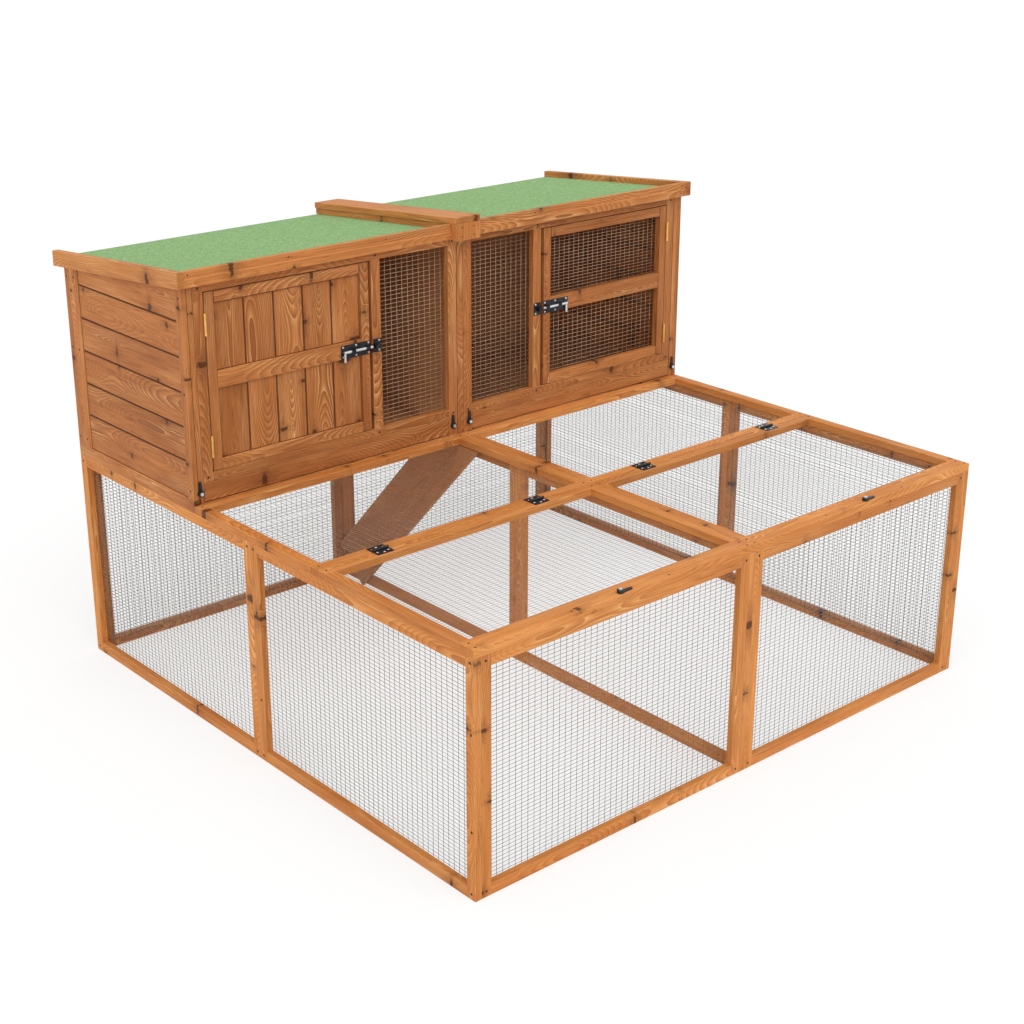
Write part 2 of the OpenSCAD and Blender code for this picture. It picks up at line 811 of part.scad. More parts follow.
module centre_cap() color(hutch_wood) {
    for (x = [mid_x - cap_w / 2 + batten_in, mid_x + cap_w / 2 - batten_in - batten_w])
        roof_slab(x, x + batten_w, hutch_y + joint, total_d, seat - verge_up, 0);
    roof_slab(mid_x - cap_w / 2, mid_x + cap_w / 2, roof_y - cap_nose, total_d, 0, cap_t);
    drawn_x(mid_x - cap_w / 2, mid_x + cap_w / 2, [
        [roof_y - cap_nose, fascia_low - cap_drop], [roof_y, fascia_low - cap_drop],
        [roof_y, roof_line(roof_y) - joint],
        [roof_y - cap_nose, roof_line(roof_y - cap_nose) - joint]
    ]);
}

// ---- Ramp ------------------------------------------------------------------

cleat_w = 14;
cleat_in = 10;
first_cleat = 50;
last_cleat_gap = 20;
// Length of the ramp's lower and upper edges, up to its level top end
low_edge = ramp_top / sin(ramp_slope);
up_edge = (ramp_top - ramp_w * cos(ramp_slope)) / sin(ramp_slope);
up = [-cos(ramp_slope), sin(ramp_slope)];
across = [sin(ramp_slope), cos(ramp_slope)];
foot = [ramp_foot, 0];

module ramp_board() color(hutch_wood) drawn_x(ramp_l, ramp_r, [
    foot, foot + ramp_w * across, foot + ramp_w * across + up_edge * up, foot + low_edge * up
]);

module ramp_cleats() color(hutch_wood)
    for (s = [first_cleat:cleat_pitch:up_edge - last_cleat_gap]) drawn_x(ramp_r, bay_r, [
        foot + s * up + cleat_in * across, foot + s * up + (ramp_w - cleat_in) * across,
        foot + (s + cleat_w) * up + (ramp_w - cleat_in) * across,
        foot + (s + cleat_w) * up + cleat_in * across
    ]);

placed() left_wall_frames();
placed() right_wall_frames();
placed() front_wall_frames();
placed() rear_wall_frames();
placed() partition_frames();
placed() left_wall_nets();
placed() right_wall_nets();
placed() front_wall_nets();
placed() rear_wall_nets();
placed() front_top_rail();
placed() top_strip_frames();
placed() top_strip_nets();
placed() left_lid_frame();
placed() left_lid_net();
placed() right_lid_frame();
placed() right_lid_net();
placed() lid_hinge_fixed_leaves();
placed() left_lid_hinge_leaves();
placed() right_lid_hinge_leaves();
placed() left_lid_button();
placed() right_lid_button();
placed() pivot_screws();
placed() hutch_base_rails();
placed() hutch_floor_panels();
placed() front_posts();
placed() left_front_frame();
placed() right_front_frame();
placed() end_stiles();
placed() end_boards();
placed() back_stiles();
placed() back_boards();
placed() inner_walls();
placed() window_nets();
placed() left_door_frame();
placed() left_door_boards();
placed() right_door_frame();
placed() right_door_nets();
placed() door_hinge_frame_leaves();
placed() left_door_hinge_leaves();
placed() right_door_hinge_leaves();
placed() bolt_keepers();
placed() left_bolt_case();
placed() left_bolt_rod();
placed() right_bolt_case();
placed() right_bolt_rod();
placed() left_tray_front();
placed() left_tray_pan();
placed() right_tray_front();
placed() right_tray_pan();
placed() tray_button_a();
placed() tray_button_b();
placed() tray_button_c();
placed() tray_button_d();
placed() roof_sheets();
placed() roof_felts();
placed() fascia_board();
placed() verge_boards();
placed() centre_cap();
placed() ramp_board();
placed() ramp_cleats();
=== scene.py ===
"""Outdoor rabbit hutch and run: the dressed model, its materials, light and camera.

Sizes are in millimetres and measured as in the drawing of the part: x from the left
wall's outer face, y from the front wall's outer face and z from the ground. place()
turns them into the metres of the shared frame.
"""

from __future__ import annotations

import logging
import math
import random
import zlib
from collections.abc import Callable, Iterable, Sequence
from dataclasses import dataclass, field
from enum import Enum

import bmesh
import bpy
from mathutils import Matrix, Vector

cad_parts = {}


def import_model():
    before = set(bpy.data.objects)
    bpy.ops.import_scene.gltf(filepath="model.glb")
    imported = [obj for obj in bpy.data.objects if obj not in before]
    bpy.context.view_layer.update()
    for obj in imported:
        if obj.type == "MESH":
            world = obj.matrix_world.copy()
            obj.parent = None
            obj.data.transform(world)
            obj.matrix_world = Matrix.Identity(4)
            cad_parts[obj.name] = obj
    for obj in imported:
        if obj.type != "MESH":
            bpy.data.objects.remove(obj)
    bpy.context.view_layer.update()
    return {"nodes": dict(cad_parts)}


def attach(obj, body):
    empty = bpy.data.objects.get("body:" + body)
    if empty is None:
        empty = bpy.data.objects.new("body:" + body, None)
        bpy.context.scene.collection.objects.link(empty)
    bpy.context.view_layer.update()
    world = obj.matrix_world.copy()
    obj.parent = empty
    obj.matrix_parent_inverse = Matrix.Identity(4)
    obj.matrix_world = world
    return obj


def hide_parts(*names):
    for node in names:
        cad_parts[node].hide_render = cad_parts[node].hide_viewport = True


LOG = logging.getLogger("rabbit_run")

Point = tuple[float, float, float]
Span = tuple[float, float]
Colour = tuple[int, int, int]
Socket = bpy.types.NodeSocket
Node = bpy.types.Node
Material = bpy.types.Material
Object = bpy.types.Object

HOUSING = "housing"


# ---- Sizes ----


@dataclass(frozen=True)
class Plan:
    """The sizes that the sub-assemblies share, in millimetres."""

    run_w: float = 1830.0
    run_d: float = 1766.0
    total_d: float = 1788.0
    wall_h: float = 622.0
    rail_w: float = 30.0
    timber_t: float = 20.0
    top_z: float = 643.0
    joint: float = 0.4
    seat: float = 0.3
    lap: float = 8.0
    front_sunk: float = 0.3
    lid_y: float = 21.0
    lid_back: float = 584.0
    hinge_y: float = 585.0
    strip_y: float = 586.0
    strip_back: float = 1142.6
    hutch_y: float = 1143.0
    front_back: float = 1163.0
    floor_z: float = 645.0
    end_z: float = 658.0
    tray_z: float = 648.0
    sill_z: float = 701.0
    door_z: float = 725.0
    head_z: float = 1213.0
    front_top: float = 1243.0
    roof_y: float = 1123.0
    pitch_deg: float = 4.85
    sheet_low: float = 32.0

    @property
    def mid_x(self) -> float:
        """The middle of the run, where the right half mirrors the left one."""
        return self.run_w / 2

    @property
    def mid_y(self) -> float:
        """The middle of the run's depth, where two frames of a side wall meet."""
        return self.run_d / 2

    @property
    def bay_r(self) -> float:
        """The partition's left face."""
        return self.mid_x - self.timber_t / 2

    @property
    def inset(self) -> float:
        """How far inside a frame's outer edge its net begins."""
        return self.rail_w - self.lap

    @property
    def fall(self) -> float:
        """How much the roof drops for each millimetre of depth."""
        return math.tan(math.radians(self.pitch_deg))

    def roof_line(self, y: float) -> float:
        """The height of the top of the roof's edge boards at a depth."""
        top = self.front_top + self.seat + self.sheet_low + 2 * self.timber_t * self.fall
        return top - (y - self.roof_y) * self.fall

    def under_roof(self, y: float) -> float:
        """The height of the highest point that a wall may reach at a depth."""
        return self.roof_line(y) - self.sheet_low - self.seat


PLAN = Plan()


def metres(size: float) -> float:
    """Turn millimetres into metres."""
    return size / 1000


def place(p: Sequence[float]) -> Vector:
    """Turn a point of the drawing into metres about the footprint's centre."""
    return Vector((metres(p[0] - PLAN.mid_x), metres(p[1] - PLAN.total_d / 2), metres(p[2])))


def flipped(p: Sequence[float]) -> Point:
    """The mirror image of a point in the run's middle plane."""
    return (PLAN.run_w - p[0], p[1], p[2])


def add_object(name: str, data: bpy.types.ID) -> Object:
    """Put a new object into the scene, at the origin.

    Args:
        name: The object's name.
        data: Its data, such as a mesh.

    Returns:
        The new object.
    """
    obj = bpy.data.objects.new(name, data)
    bpy.context.scene.collection.objects.link(obj)
    return obj


def seed_of(name: str) -> int:
    """A fixed seed for a piece, from its name."""
    return zlib.crc32(name.encode())


class Along(Enum):
    """The direction in which a board's grain runs."""

    X = (1.0, 0.0, 0.0)
    Y = (0.0, 1.0, 0.0)
    Z = (0.0, 0.0, 1.0)


class Side(Enum):
    """The face of the run that a screw's head or a net lies on."""

    LEFT = (-1.0, 0.0, 0.0)
    RIGHT = (1.0, 0.0, 0.0)
    FRONT = (0.0, -1.0, 0.0)
    BACK = (0.0, 1.0, 0.0)
    UP = (0.0, 0.0, 1.0)

    @property
    def mirrored(self) -> Side:
        """The face on the other side of the run's middle."""
        return {Side.LEFT: Side.RIGHT, Side.RIGHT: Side.LEFT}.get(self, self)


class Edge(Enum):
    """How far a board's edges are rounded, in millimetres."""

    SHEET = 0.5
    CLEAT = 1.0
    LATH = 1.2
    RAMP = 1.6
    GAP = 1.8
    PANEL = 2.2
    BOARDING = 2.4


# ---- Node trees ----


@dataclass
class Nodes:
    """A short way to write a node tree."""

    tree: bpy.types.NodeTree

    def feed(self, socket: Socket, value: object) -> None:
        """Link an output to an input, or set the input's own value.

        Args:
            socket: The input.
            value: The output, or a plain value.
        """
        if isinstance(value, bpy.types.NodeSocket):
            self.tree.links.new(value, socket)
        else:
            socket.default_value = value

    def set(self, node: Node, **values: object) -> Node:
        """Set a node's properties and feed its inputs.

        Args:
            node: The node.
            values: Its properties by name, and its inputs by name with their spaces
                written as underscores, each a plain value or the output that feeds it.

        Returns:
            The same node.
        """
        for key in [k for k in values if hasattr(node, k)]:
            setattr(node, key, values.pop(key))
        inputs = {s.name.replace(" ", "_"): s for s in reversed(node.inputs)}
        for key, value in values.items():
            self.feed(inputs[key], value)
        return node

    def add(self, kind: str, **values: object) -> Node:
        """Add a node of a type and set it."""
        return self.set(self.tree.nodes.new(kind), **values)

    def out(self, kind: str, **values: object) -> Socket:
        """Add a node of a type, set it and return its first output."""
        return self.add(kind, **values).outputs[0]

    def math(self, how: str, *values: object) -> Socket:
        """Add a Math node.

        Args:
            how: The operation.
            values: Its one or two values, each a number or an output.

        Returns:
            The result.
        """
        node = self.add("ShaderNodeMath", operation=how)
        for socket, value in zip(node.inputs, values):
            self.feed(socket, value)
        return node.outputs[0]

    def mul(self, a: object, b: object) -> Socket:
        """The product of two values."""
        return self.math("MULTIPLY", a, b)

    def plus(self, a: object, b: object) -> Socket:
        """The sum of two values."""
        return self.math("ADD", a, b)

    def minus(self, a: object, b: object) -> Socket:
        """The difference of two values."""
        return self.math("SUBTRACT", a, b)

    def over(self, a: object, b: object) -> Socket:
        """The quotient of two values."""
        return self.math("DIVIDE", a, b)

    def mix(self, share: object, a: object, b: object, how: str = "MIX") -> Socket:
        """Mix two colours.

        Args:
            share: The share of the second colour, an output or a number.
            a: The first colour, an output or four numbers.
            b: The second colour, an output or four numbers.
            how: The blend type.

        Returns:
            The mixed colour.
        """
        node = self.add("ShaderNodeMix", data_type="RGBA", blend_type=how)
        for i, value in ((0, share), (6, a), (7, b)):
            self.feed(node.inputs[i], value)
        return node.outputs[2]

    def ramp(self, value: Socket, lo: float, hi: float) -> Socket:
        """Spread the values between lo and hi over 0 to 1."""
        return self.out("ShaderNodeMapRange", Value=value, From_Min=lo, From_Max=hi)

    def attribute(self, name: str) -> Socket:
        """A number that the mesh carries."""
        return self.add("ShaderNodeAttribute", attribute_name=name).outputs["Fac"]

    def bump(self, height: Socket, strength: float, distance: float) -> Socket:
        """A normal that follows a height, over a distance in metres."""
        return self.out("ShaderNodeBump", Height=height, Strength=strength, Distance=distance)

    def joined(self, parts: Iterable[Socket]) -> Socket:
        """Join several geometries.

        Args:
            parts: The geometries.

        Returns:
            All of them as one.
        """
        join = self.add("GeometryNodeJoinGeometry")
        for part in parts:
            self.feed(join.inputs[0], part)
        return join.outputs[0]

    def painted(self, geometry: Socket, material: Socket) -> Socket:
        """A geometry with its material set."""
        return self.out("GeometryNodeSetMaterial", Geometry=geometry, Material=material)

    def seen(self) -> Socket:
        """Ask whether a ray comes from the camera, a mirror or a glass.

        Returns:
            One for such a ray and zero for any other.
        """
        path = self.add("ShaderNodeLightPath")
        seen = self.math("MAXIMUM", path.outputs["Is Camera Ray"], path.outputs["Is Glossy Ray"])
        return self.math("MAXIMUM", seen, path.outputs["Is Transmission Ray"])


@dataclass
class Group:
    """A node group, its writer and its two ends."""

    name: str
    inputs: Sequence[tuple[str, str, object]]
    outputs: Sequence[tuple[str, str]]
    kind: str = "ShaderNodeTree"
    n: Nodes = field(init=False)
    src: Node = field(init=False)
    end: Node = field(init=False)

    def __post_init__(self) -> None:
        """Make the tree with its sockets."""
        self.n = Nodes(bpy.data.node_groups.new(self.name, self.kind))
        face = self.n.tree.interface
        for label, kind, value in self.inputs:
            socket = face.new_socket(label, in_out="INPUT", socket_type=f"NodeSocket{kind}")
            if value is not None:
                socket.default_value = value
        for label, kind in self.outputs:
            face.new_socket(label, in_out="OUTPUT", socket_type=f"NodeSocket{kind}")
        self.src, self.end = self.n.add("NodeGroupInput"), self.n.add("NodeGroupOutput")

    def of(self, label: str) -> Socket:
        """The value of one of the group's inputs."""
        return self.src.outputs[label]


def grain_group() -> Group:
    """The growth rings, fibres and knots of a flat-sawn softwood board.

    Returns:
        A group that reads a place on the board, in metres with x along the grain, y
        across it and z through it, and puts out masks and the height of the surface.
    """
    labels = ("Late Wood", "Streaks", "Patches", "Flame", "Knot", "Height")
    g = Group("Sawn softwood grain",
              [("Place", "Vector", None), ("Ring Density", "Float", 1.0), ("Knots", "Float", 0.5)],
              [(label, "Float") for label in labels])
    n, where = g.n, g.of("Place")
    mul, plus, minus, over = n.mul, n.plus, n.minus, n.over

    def noise(along: float, across: float, detail: float, rough: float = 0.5) -> Socket:
        """Noise with its own scale along and across the grain."""
        scaled = n.out("ShaderNodeMapping", Vector=where, Scale=(along, across, across))
        return n.out("ShaderNodeTexNoise", Vector=scaled, Scale=1.0, Detail=detail, Roughness=rough)

    def sway(value: Socket, middle: float, size: float) -> Socket:
        """A value's distance from its middle, scaled to a size."""
        return mul(minus(value, middle), size)

    def square(value: Socket) -> Socket:
        """A value times itself, also where it is negative."""
        return n.math("POWER", n.math("ABSOLUTE", value), 2.0)

    # Knots: ragged spots in a flat lattice of cells, some drawn out across the grain
    cells_along, cells_across = 5.5, 13.0
    lattice = n.out("ShaderNodeMapping", Vector=where, Scale=(cells_along, cells_across, 0.0))
    cell = n.add("ShaderNodeTexVoronoi", voronoi_dimensions="2D", feature="F1", Vector=lattice,
                 Scale=1.0, Randomness=1.0)
    away = n.add("ShaderNodeVectorMath", operation="SUBTRACT")
    for socket, value in zip(away.inputs, (lattice, cell.outputs["Position"])):
        n.feed(socket, value)
    gap = n.add("ShaderNodeSeparateXYZ", Vector=away.outputs[0])
    chance = n.add("ShaderNodeSeparateColor", Color=cell.outputs["Color"])
    present = n.math("LESS_THAN", chance.outputs[0], g.of("Knots"))
    stretch = plus(mul(chance.outputs[2], 0.6), 0.24)
    dx2 = square(over(gap.outputs["X"], cells_along))
    dy2 = square(mul(over(gap.outputs["Y"], cells_across), stretch))
    ragged = sway(noise(90.0, 120.0, 2.0), 0.5, 0.011)
    near = plus(n.math("SQRT", plus(dx2, dy2)), ragged)
    tail = plus(n.math("SQRT", plus(mul(dx2, 0.03), dy2)), ragged)
    size = plus(mul(n.math("POWER", chance.outputs[1], 2.0), 0.0085), 0.0044)
    core, rim, smear, push = (
        mul(n.ramp(reach, lo, hi), present)
        for reach, lo, hi in ((over(near, size), 1.2, 0.7), (over(near, size), 2.6, 1.1),
                              (over(tail, size), 1.2, 0.2), (near, 0.030, 0.004)))
    # Rings: the board's face cuts cones round a wandering pith, which gives drawn-out arches
    part = n.add("ShaderNodeSeparateXYZ", Vector=where)
    deep = plus(sway(noise(1.5, 0.4, 1.0), 0.42, 0.20), part.outputs["Z"])
    across = plus(part.outputs["Y"], sway(noise(5.0, 24.0, 2.0), 0.5, 0.012))
    radius = n.math("SQRT", plus(square(across), square(deep)))
    radius = plus(radius, mul(mul(push, push), 0.014))
    rings_per_metre = 200.0
    phase = n.math("FRACT", mul(radius, mul(g.of("Ring Density"), rings_per_metre)))
    line = n.math("POWER", minus(1.0, phase), 3.0)
    figure = n.ramp(noise(2.4, 11.0, 2.0), 0.34, 0.64)
    late = mul(n.math("POWER", phase, 2.0), plus(mul(figure, 0.65), 0.35))
    pale = n.ramp(noise(3.0, 15.0, 2.0, 0.6), 0.47, 0.67)
    # Fibres: fine long streaks over broader ones
    fine = n.ramp(noise(11.0, 260.0, 3.0, 0.62), 0.34, 0.66)
    broad = n.ramp(noise(3.4, 75.0, 2.0, 0.6), 0.34, 0.66)
    dash = n.ramp(noise(15.0, 170.0, 2.0, 0.6), 0.58, 0.72)
    streak = plus(plus(mul(fine, 0.5), mul(broad, 0.4)), mul(dash, 0.55))
    broken = plus(mul(minus(1.0, fine), 0.65), 0.35)
    dark = n.math("MAXIMUM", core, mul(rim, 0.36))
    n.set(g.end, Late_Wood=late, Streaks=streak, Flame=mul(mul(line, broken), pale),
          Patches=n.ramp(noise(2.6, 14.0, 2.0, 0.55), 0.36, 0.66),
          Knot=n.math("MAXIMUM", dark, mul(smear, 0.42)),
          Height=minus(plus(mul(late, 0.5), mul(streak, 0.35)), mul(core, 0.4)))
    return g


def speckle_group() -> Group:
    """Fine grit and slow blotches, for felt, sheet metal and lacquer.

    Returns:
        A group that puts out a grit mask and a blotch mask, both from 0 to 1.
    """
    g = Group("Grit and blotches",
              [("Place", "Vector", None), ("Grit Scale", "Float", 900.0),
               ("Blotch Scale", "Float", 6.0)], [("Grit", "Float"), ("Blotch", "Float")])
    for label, lo, hi in (("Grit", 0.32, 0.68), ("Blotch", 0.35, 0.65)):
        noise = g.n.out("ShaderNodeTexNoise", Vector=g.of("Place"), Scale=g.of(f"{label} Scale"),
                        Detail=2.0, Roughness=0.55)
        g.n.set(g.end, **{label: g.n.ramp(noise, lo, hi)})
    return g


# ---- Finishes ----


@dataclass(frozen=True)
class Effects:
    """The shader groups that the finishes share."""

    grain: Group
    grit: Group


def linear(rgb: Colour) -> tuple[float, ...]:
    """Turn a colour as a screen shows it, 0 to 255, into the linear one of the shaders."""
    parts = [v / 255 for v in rgb]
    return (*(v / 12.92 if v <= 0.04045 else ((v + 0.055) / 1.055) ** 2.4 for v in parts), 1.0)


def start_material(name: str) -> tuple[Material, Nodes, Node]:
    """Make a material with a Principled shader.

    Args:
        name: The material's name.

    Returns:
        The material, its node writer and its Principled BSDF.
    """
    mat = bpy.data.materials.new(name)
    mat.use_nodes = True
    return mat, Nodes(mat.node_tree), mat.node_tree.nodes["Principled BSDF"]


def effect_node(n: Nodes, group: Group, attribute: str = "", **values: object) -> Node:
    """Place a shared group in a material and let it read the place on the surface.

    Args:
        n: The material's node writer.
        group: The shared group.
        attribute: The mesh attribute that holds the place, or none for the object's own.
        values: The group's other inputs, with spaces written as underscores.

    Returns:
        The group's node.
    """
    if attribute:
        where = n.add("ShaderNodeAttribute", attribute_name=attribute).outputs["Vector"]
    else:
        where = n.add("ShaderNodeTexCoord").outputs["Object"]
    return n.add("ShaderNodeGroup", node_tree=group.n.tree, Place=where, **values)


@dataclass(frozen=True)
class WoodFinish:
    """Stained softwood, seen in its own board's place."""

    name: str
    early: Colour
    late: Colour
    brown: Colour
    slot: str = "hutch_timber"
    knot: Colour = (80, 40, 18)
    # Painted highlight on the boards' rounded edges.
    edge_highlight: Colour = (236, 172, 108)
    pale: Colour = (252, 200, 136)
    # Painted shade for the gaps between boards, laid on the rounded edges of gap-shaded boards.
    groove: Colour = (66, 34, 16)
    low_tone: tuple[float, ...] = (0.80, 0.76, 0.72, 1)
    ring_density: float = 1.0
    late_share: float = 0.66
    knots: float = 0.46
    flame: float = 0.8
    roughness: float = 0.55
    on_board: bool = True

    def make(self, effects: Effects) -> Material:
        """Build the material.

        Args:
            effects: The shared groups.

        Returns:
            The new material.
        """
        mat, n, shader = start_material(self.name)
        g = effect_node(n, effects.grain, "board_place" if self.on_board else "",
                        Ring_Density=self.ring_density, Knots=self.knots)
        masks = g.outputs
        late = linear(self.late)
        colour = n.mix(n.mul(masks["Patches"], 0.6), linear(self.early), linear(self.brown))
        for mask, share, tint in (("Streaks", 0.56, late), ("Late Wood", self.late_share, late),
                                  ("Flame", self.flame, linear(self.pale))):
            colour = n.mix(n.mul(masks[mask], share), colour, tint)
        if self.on_board:
            low = n.mix(1.0, colour, self.low_tone, "MULTIPLY")
            colour = n.mix(n.attribute("board_tone"), low, colour)
            # Rounded edges get a painted highlight; end grain goes darker, as stained end grain
            # does; the rounded edges of gap-shaded boards get painted shade for the gaps between
            # boards.
            for mask, share, tint in (("board_edge", 0.25, linear(self.edge_highlight)),
                                      ("board_end", 0.35, late),
                                      ("board_groove", 0.75, linear(self.groove))):
                colour = n.mix(n.mul(n.attribute(mask), share), colour, tint)
        colour = n.mix(n.mul(masks["Knot"], 0.92), colour, linear(self.knot))
        n.set(shader, Base_Color=colour, Specular_IOR_Level=0.22,
              Roughness=n.minus(self.roughness + 0.08, n.mul(masks["Late Wood"], 0.16)),
              Normal=n.bump(masks["Height"], 0.4, 0.0004))
        return mat


@dataclass(frozen=True)
class FeltFinish:
    """Mineral roofing felt: coloured grit on a matt mat."""

    name: str
    light: Colour
    dark: Colour
    low_tone: tuple[float, ...] = (0.78, 0.86, 0.80, 1)

    def make(self, effects: Effects) -> Material:
        """Build the material.

        Args:
            effects: The shared groups.

        Returns:
            The new material.
        """
        mat, n, shader = start_material(self.name)
        masks = effect_node(n, effects.grit, Grit_Scale=240.0, Blotch_Scale=70.0).outputs
        colour = n.mix(masks["Grit"], linear(self.dark), linear(self.light))
        low = n.mix(1.0, colour, self.low_tone, "MULTIPLY")
        n.set(shader, Base_Color=n.mix(masks["Blotch"], low, colour), Roughness=0.95,
              Specular_IOR_Level=0.15, Normal=n.bump(masks["Grit"], 0.7, 0.0006))
        return mat


@dataclass(frozen=True)
class MetalFinish:
    """Plated or lacquered metal with a little grit and uneven gloss."""

    name: str
    colour: Colour
    shade: Colour
    metallic: float = 1.0
    roughness: float = 0.35
    unevenness: float = 0.12
    grit_scale: float = 700.0

    def make(self, effects: Effects) -> Material:
        """Build the material.

        Args:
            effects: The shared groups.

        Returns:
            The new material.
        """
        mat, n, shader = start_material(self.name)
        g = effect_node(n, effects.grit, Grit_Scale=self.grit_scale, Blotch_Scale=38.0)
        grit = g.outputs["Grit"]
        n.set(shader, Metallic=self.metallic, Normal=n.bump(grit, 0.12, 0.0002),
              Base_Color=n.mix(g.outputs["Blotch"], linear(self.colour), linear(self.shade)),
              Roughness=n.plus(n.mul(grit, self.unevenness), self.roughness))
        return mat


class Finish(Enum):
    """Every finish of the part."""

    RUN = WoodFinish("Run softwood", (246, 166, 90), (156, 84, 32), (212, 130, 62),
                     "run_timber", flame=0.9, ring_density=1.3)
    HUTCH = WoodFinish("Hutch softwood", (222, 145, 81), (122, 62, 26), (188, 114, 58),
                       flame=0.9, ring_density=1.35)
    EDGE = WoodFinish("Edge softwood", (242, 162, 90), (150, 84, 38), (212, 134, 70),
                      flame=1.0, ring_density=1.3)
    PANEL = WoodFinish("Inside sheet timber", (212, 152, 98), (170, 112, 66), (190, 130, 80),
                       knots=0.0, flame=0.2, on_board=False)
    RAMP = WoodFinish("Ramp softwood", (208, 140, 82), (146, 88, 46), (176, 112, 62), knots=0.1)
    LINING = WoodFinish("Inside lining", (206, 146, 94), (164, 108, 64), (184, 126, 78),
                        knots=0.0, flame=0.2)
    FELT = FeltFinish("Green mineral felt", (172, 203, 148), (122, 158, 100))
    WIRE = MetalFinish("Galvanised wire", (140, 139, 134), (112, 111, 108), 0.6, 0.42)
    # A lighter, warmer copy of the galvanised wire for the nets in front of the hutch's dark
    # inside: painted light, with a painted reflection of the timber's warm colour.
    WARM_WIRE = MetalFinish("Galvanised wire by the timber", (208, 184, 158), (188, 164, 138),
                            0.35, 0.45)
    SHEET = MetalFinish("Brown lacquered sheet", (178, 126, 86), (156, 108, 72), 0.0, 0.42,
                        0.2, 90.0)
    BLACK = MetalFinish("Black lacquer", (20, 20, 22), (30, 30, 33), 0.2, 0.32)
    ZINC = MetalFinish("Bright zinc", (232, 234, 234), (206, 210, 212), 0.85, 0.26)
    DARK_ZINC = MetalFinish("Dark zinc plate", (60, 62, 66), (44, 46, 50), 0.9, 0.36)
    BRASS = MetalFinish("Brass plate", (244, 200, 118), (222, 172, 92), 0.9, 0.34)
    SCREW = MetalFinish("Sunk screw", (84, 56, 34), (58, 38, 24), 0.5, 0.5)
    RECESS = MetalFinish("Recess shadow", (12, 10, 9), (18, 14, 12), 0.0, 0.8)


# ---- Boards ----


@dataclass
class Board:
    """One sawn board: its corners at both ends, its grain and its edges."""

    corners: list[Point]
    along: Point
    edge: Edge = Edge.LATH
    # Whether the rounded edges carry painted shade for the gaps beside the board.
    gap_shaded: bool = False

    @staticmethod
    def drawn(xs: Span, outline: Sequence[Span], along: Point, edge: Edge = Edge.LATH) -> Board:
        """A board drawn along x from an outline in y and z."""
        return Board([(x, y, z) for x in xs for y, z in outline], along, edge)

    @staticmethod
    def box(lo: Point, hi: Point, along: Along, edge: Edge = Edge.LATH) -> Board:
        """A straight board between its lowest and highest corner."""
        outline = [(lo[1], lo[2]), (hi[1], lo[2]), (hi[1], hi[2]), (lo[1], hi[2])]
        return Board.drawn((lo[0], hi[0]), outline, along.value, edge)

    def rings(self) -> list[tuple[int, ...]]:
        """Number the corners of each face.

        Returns:
            The two ends and then the sides, each as its corners' numbers.
        """
        n = len(self.corners) // 2
        sides = [(i, (i + 1) % n, (i + 1) % n + n, i + n) for i in range(n)]
        return [tuple(reversed(range(n))), tuple(range(n, 2 * n)), *sides]

    def mirrored(self) -> Board:
        """Mirror the board in the run's middle plane.

        Returns:
            The board on the other side.
        """
        half = len(self.corners) // 2
        corners = [flipped(p) for p in self.corners[half:] + self.corners[:half]]
        x, y, z = self.along
        return Board(corners, (-x, y, z), self.edge, self.gap_shaded)

    def with_gap_shade(self) -> Board:
        """The same board with painted shade on its rounded edges, for the shade in the gaps between
        it and its neighbours.
        """
        return Board(self.corners, self.along, self.edge, True)

    def rounded(self) -> tuple[bmesh.types.BMesh, set[Vector]]:
        """Build the board with its edges rounded.

        Returns:
            Its mesh, and the normals of its flat faces.
        """
        bm = bmesh.new()
        verts = [bm.verts.new(place(p)) for p in self.corners]
        for ring in self.rings():
            bm.faces.new([verts[i] for i in ring])
        bmesh.ops.recalc_face_normals(bm, faces=bm.faces)
        flat = {f.normal.copy().freeze() for f in bm.faces}
        bmesh.ops.bevel(bm, geom=list(bm.edges), offset=metres(self.edge.value), segments=2,
                        profile=0.6, affect="EDGES", clamp_overlap=True)
        bm.verts.index_update()
        return bm, flat

    def axes(self, bm: bmesh.types.BMesh) -> tuple[Vector, Vector, Vector]:
        """The board's own axes.

        Args:
            bm: The board's mesh.

        Returns:
            The directions of its length, its width and its thickness.
        """
        a = Vector(self.along).normalized()
        upright = abs(a.z) >= 0.9
        b = a.cross(Vector((1, 0, 0)) if upright else Vector((0, 0, 1))).normalized()
        c = a.cross(b)
        reach = [[v.co.dot(k) for v in bm.verts] for k in (b, c)]
        wide, thick = (max(r) - min(r) for r in reach)
        return (a, c, b) if wide < thick else (a, b, c)


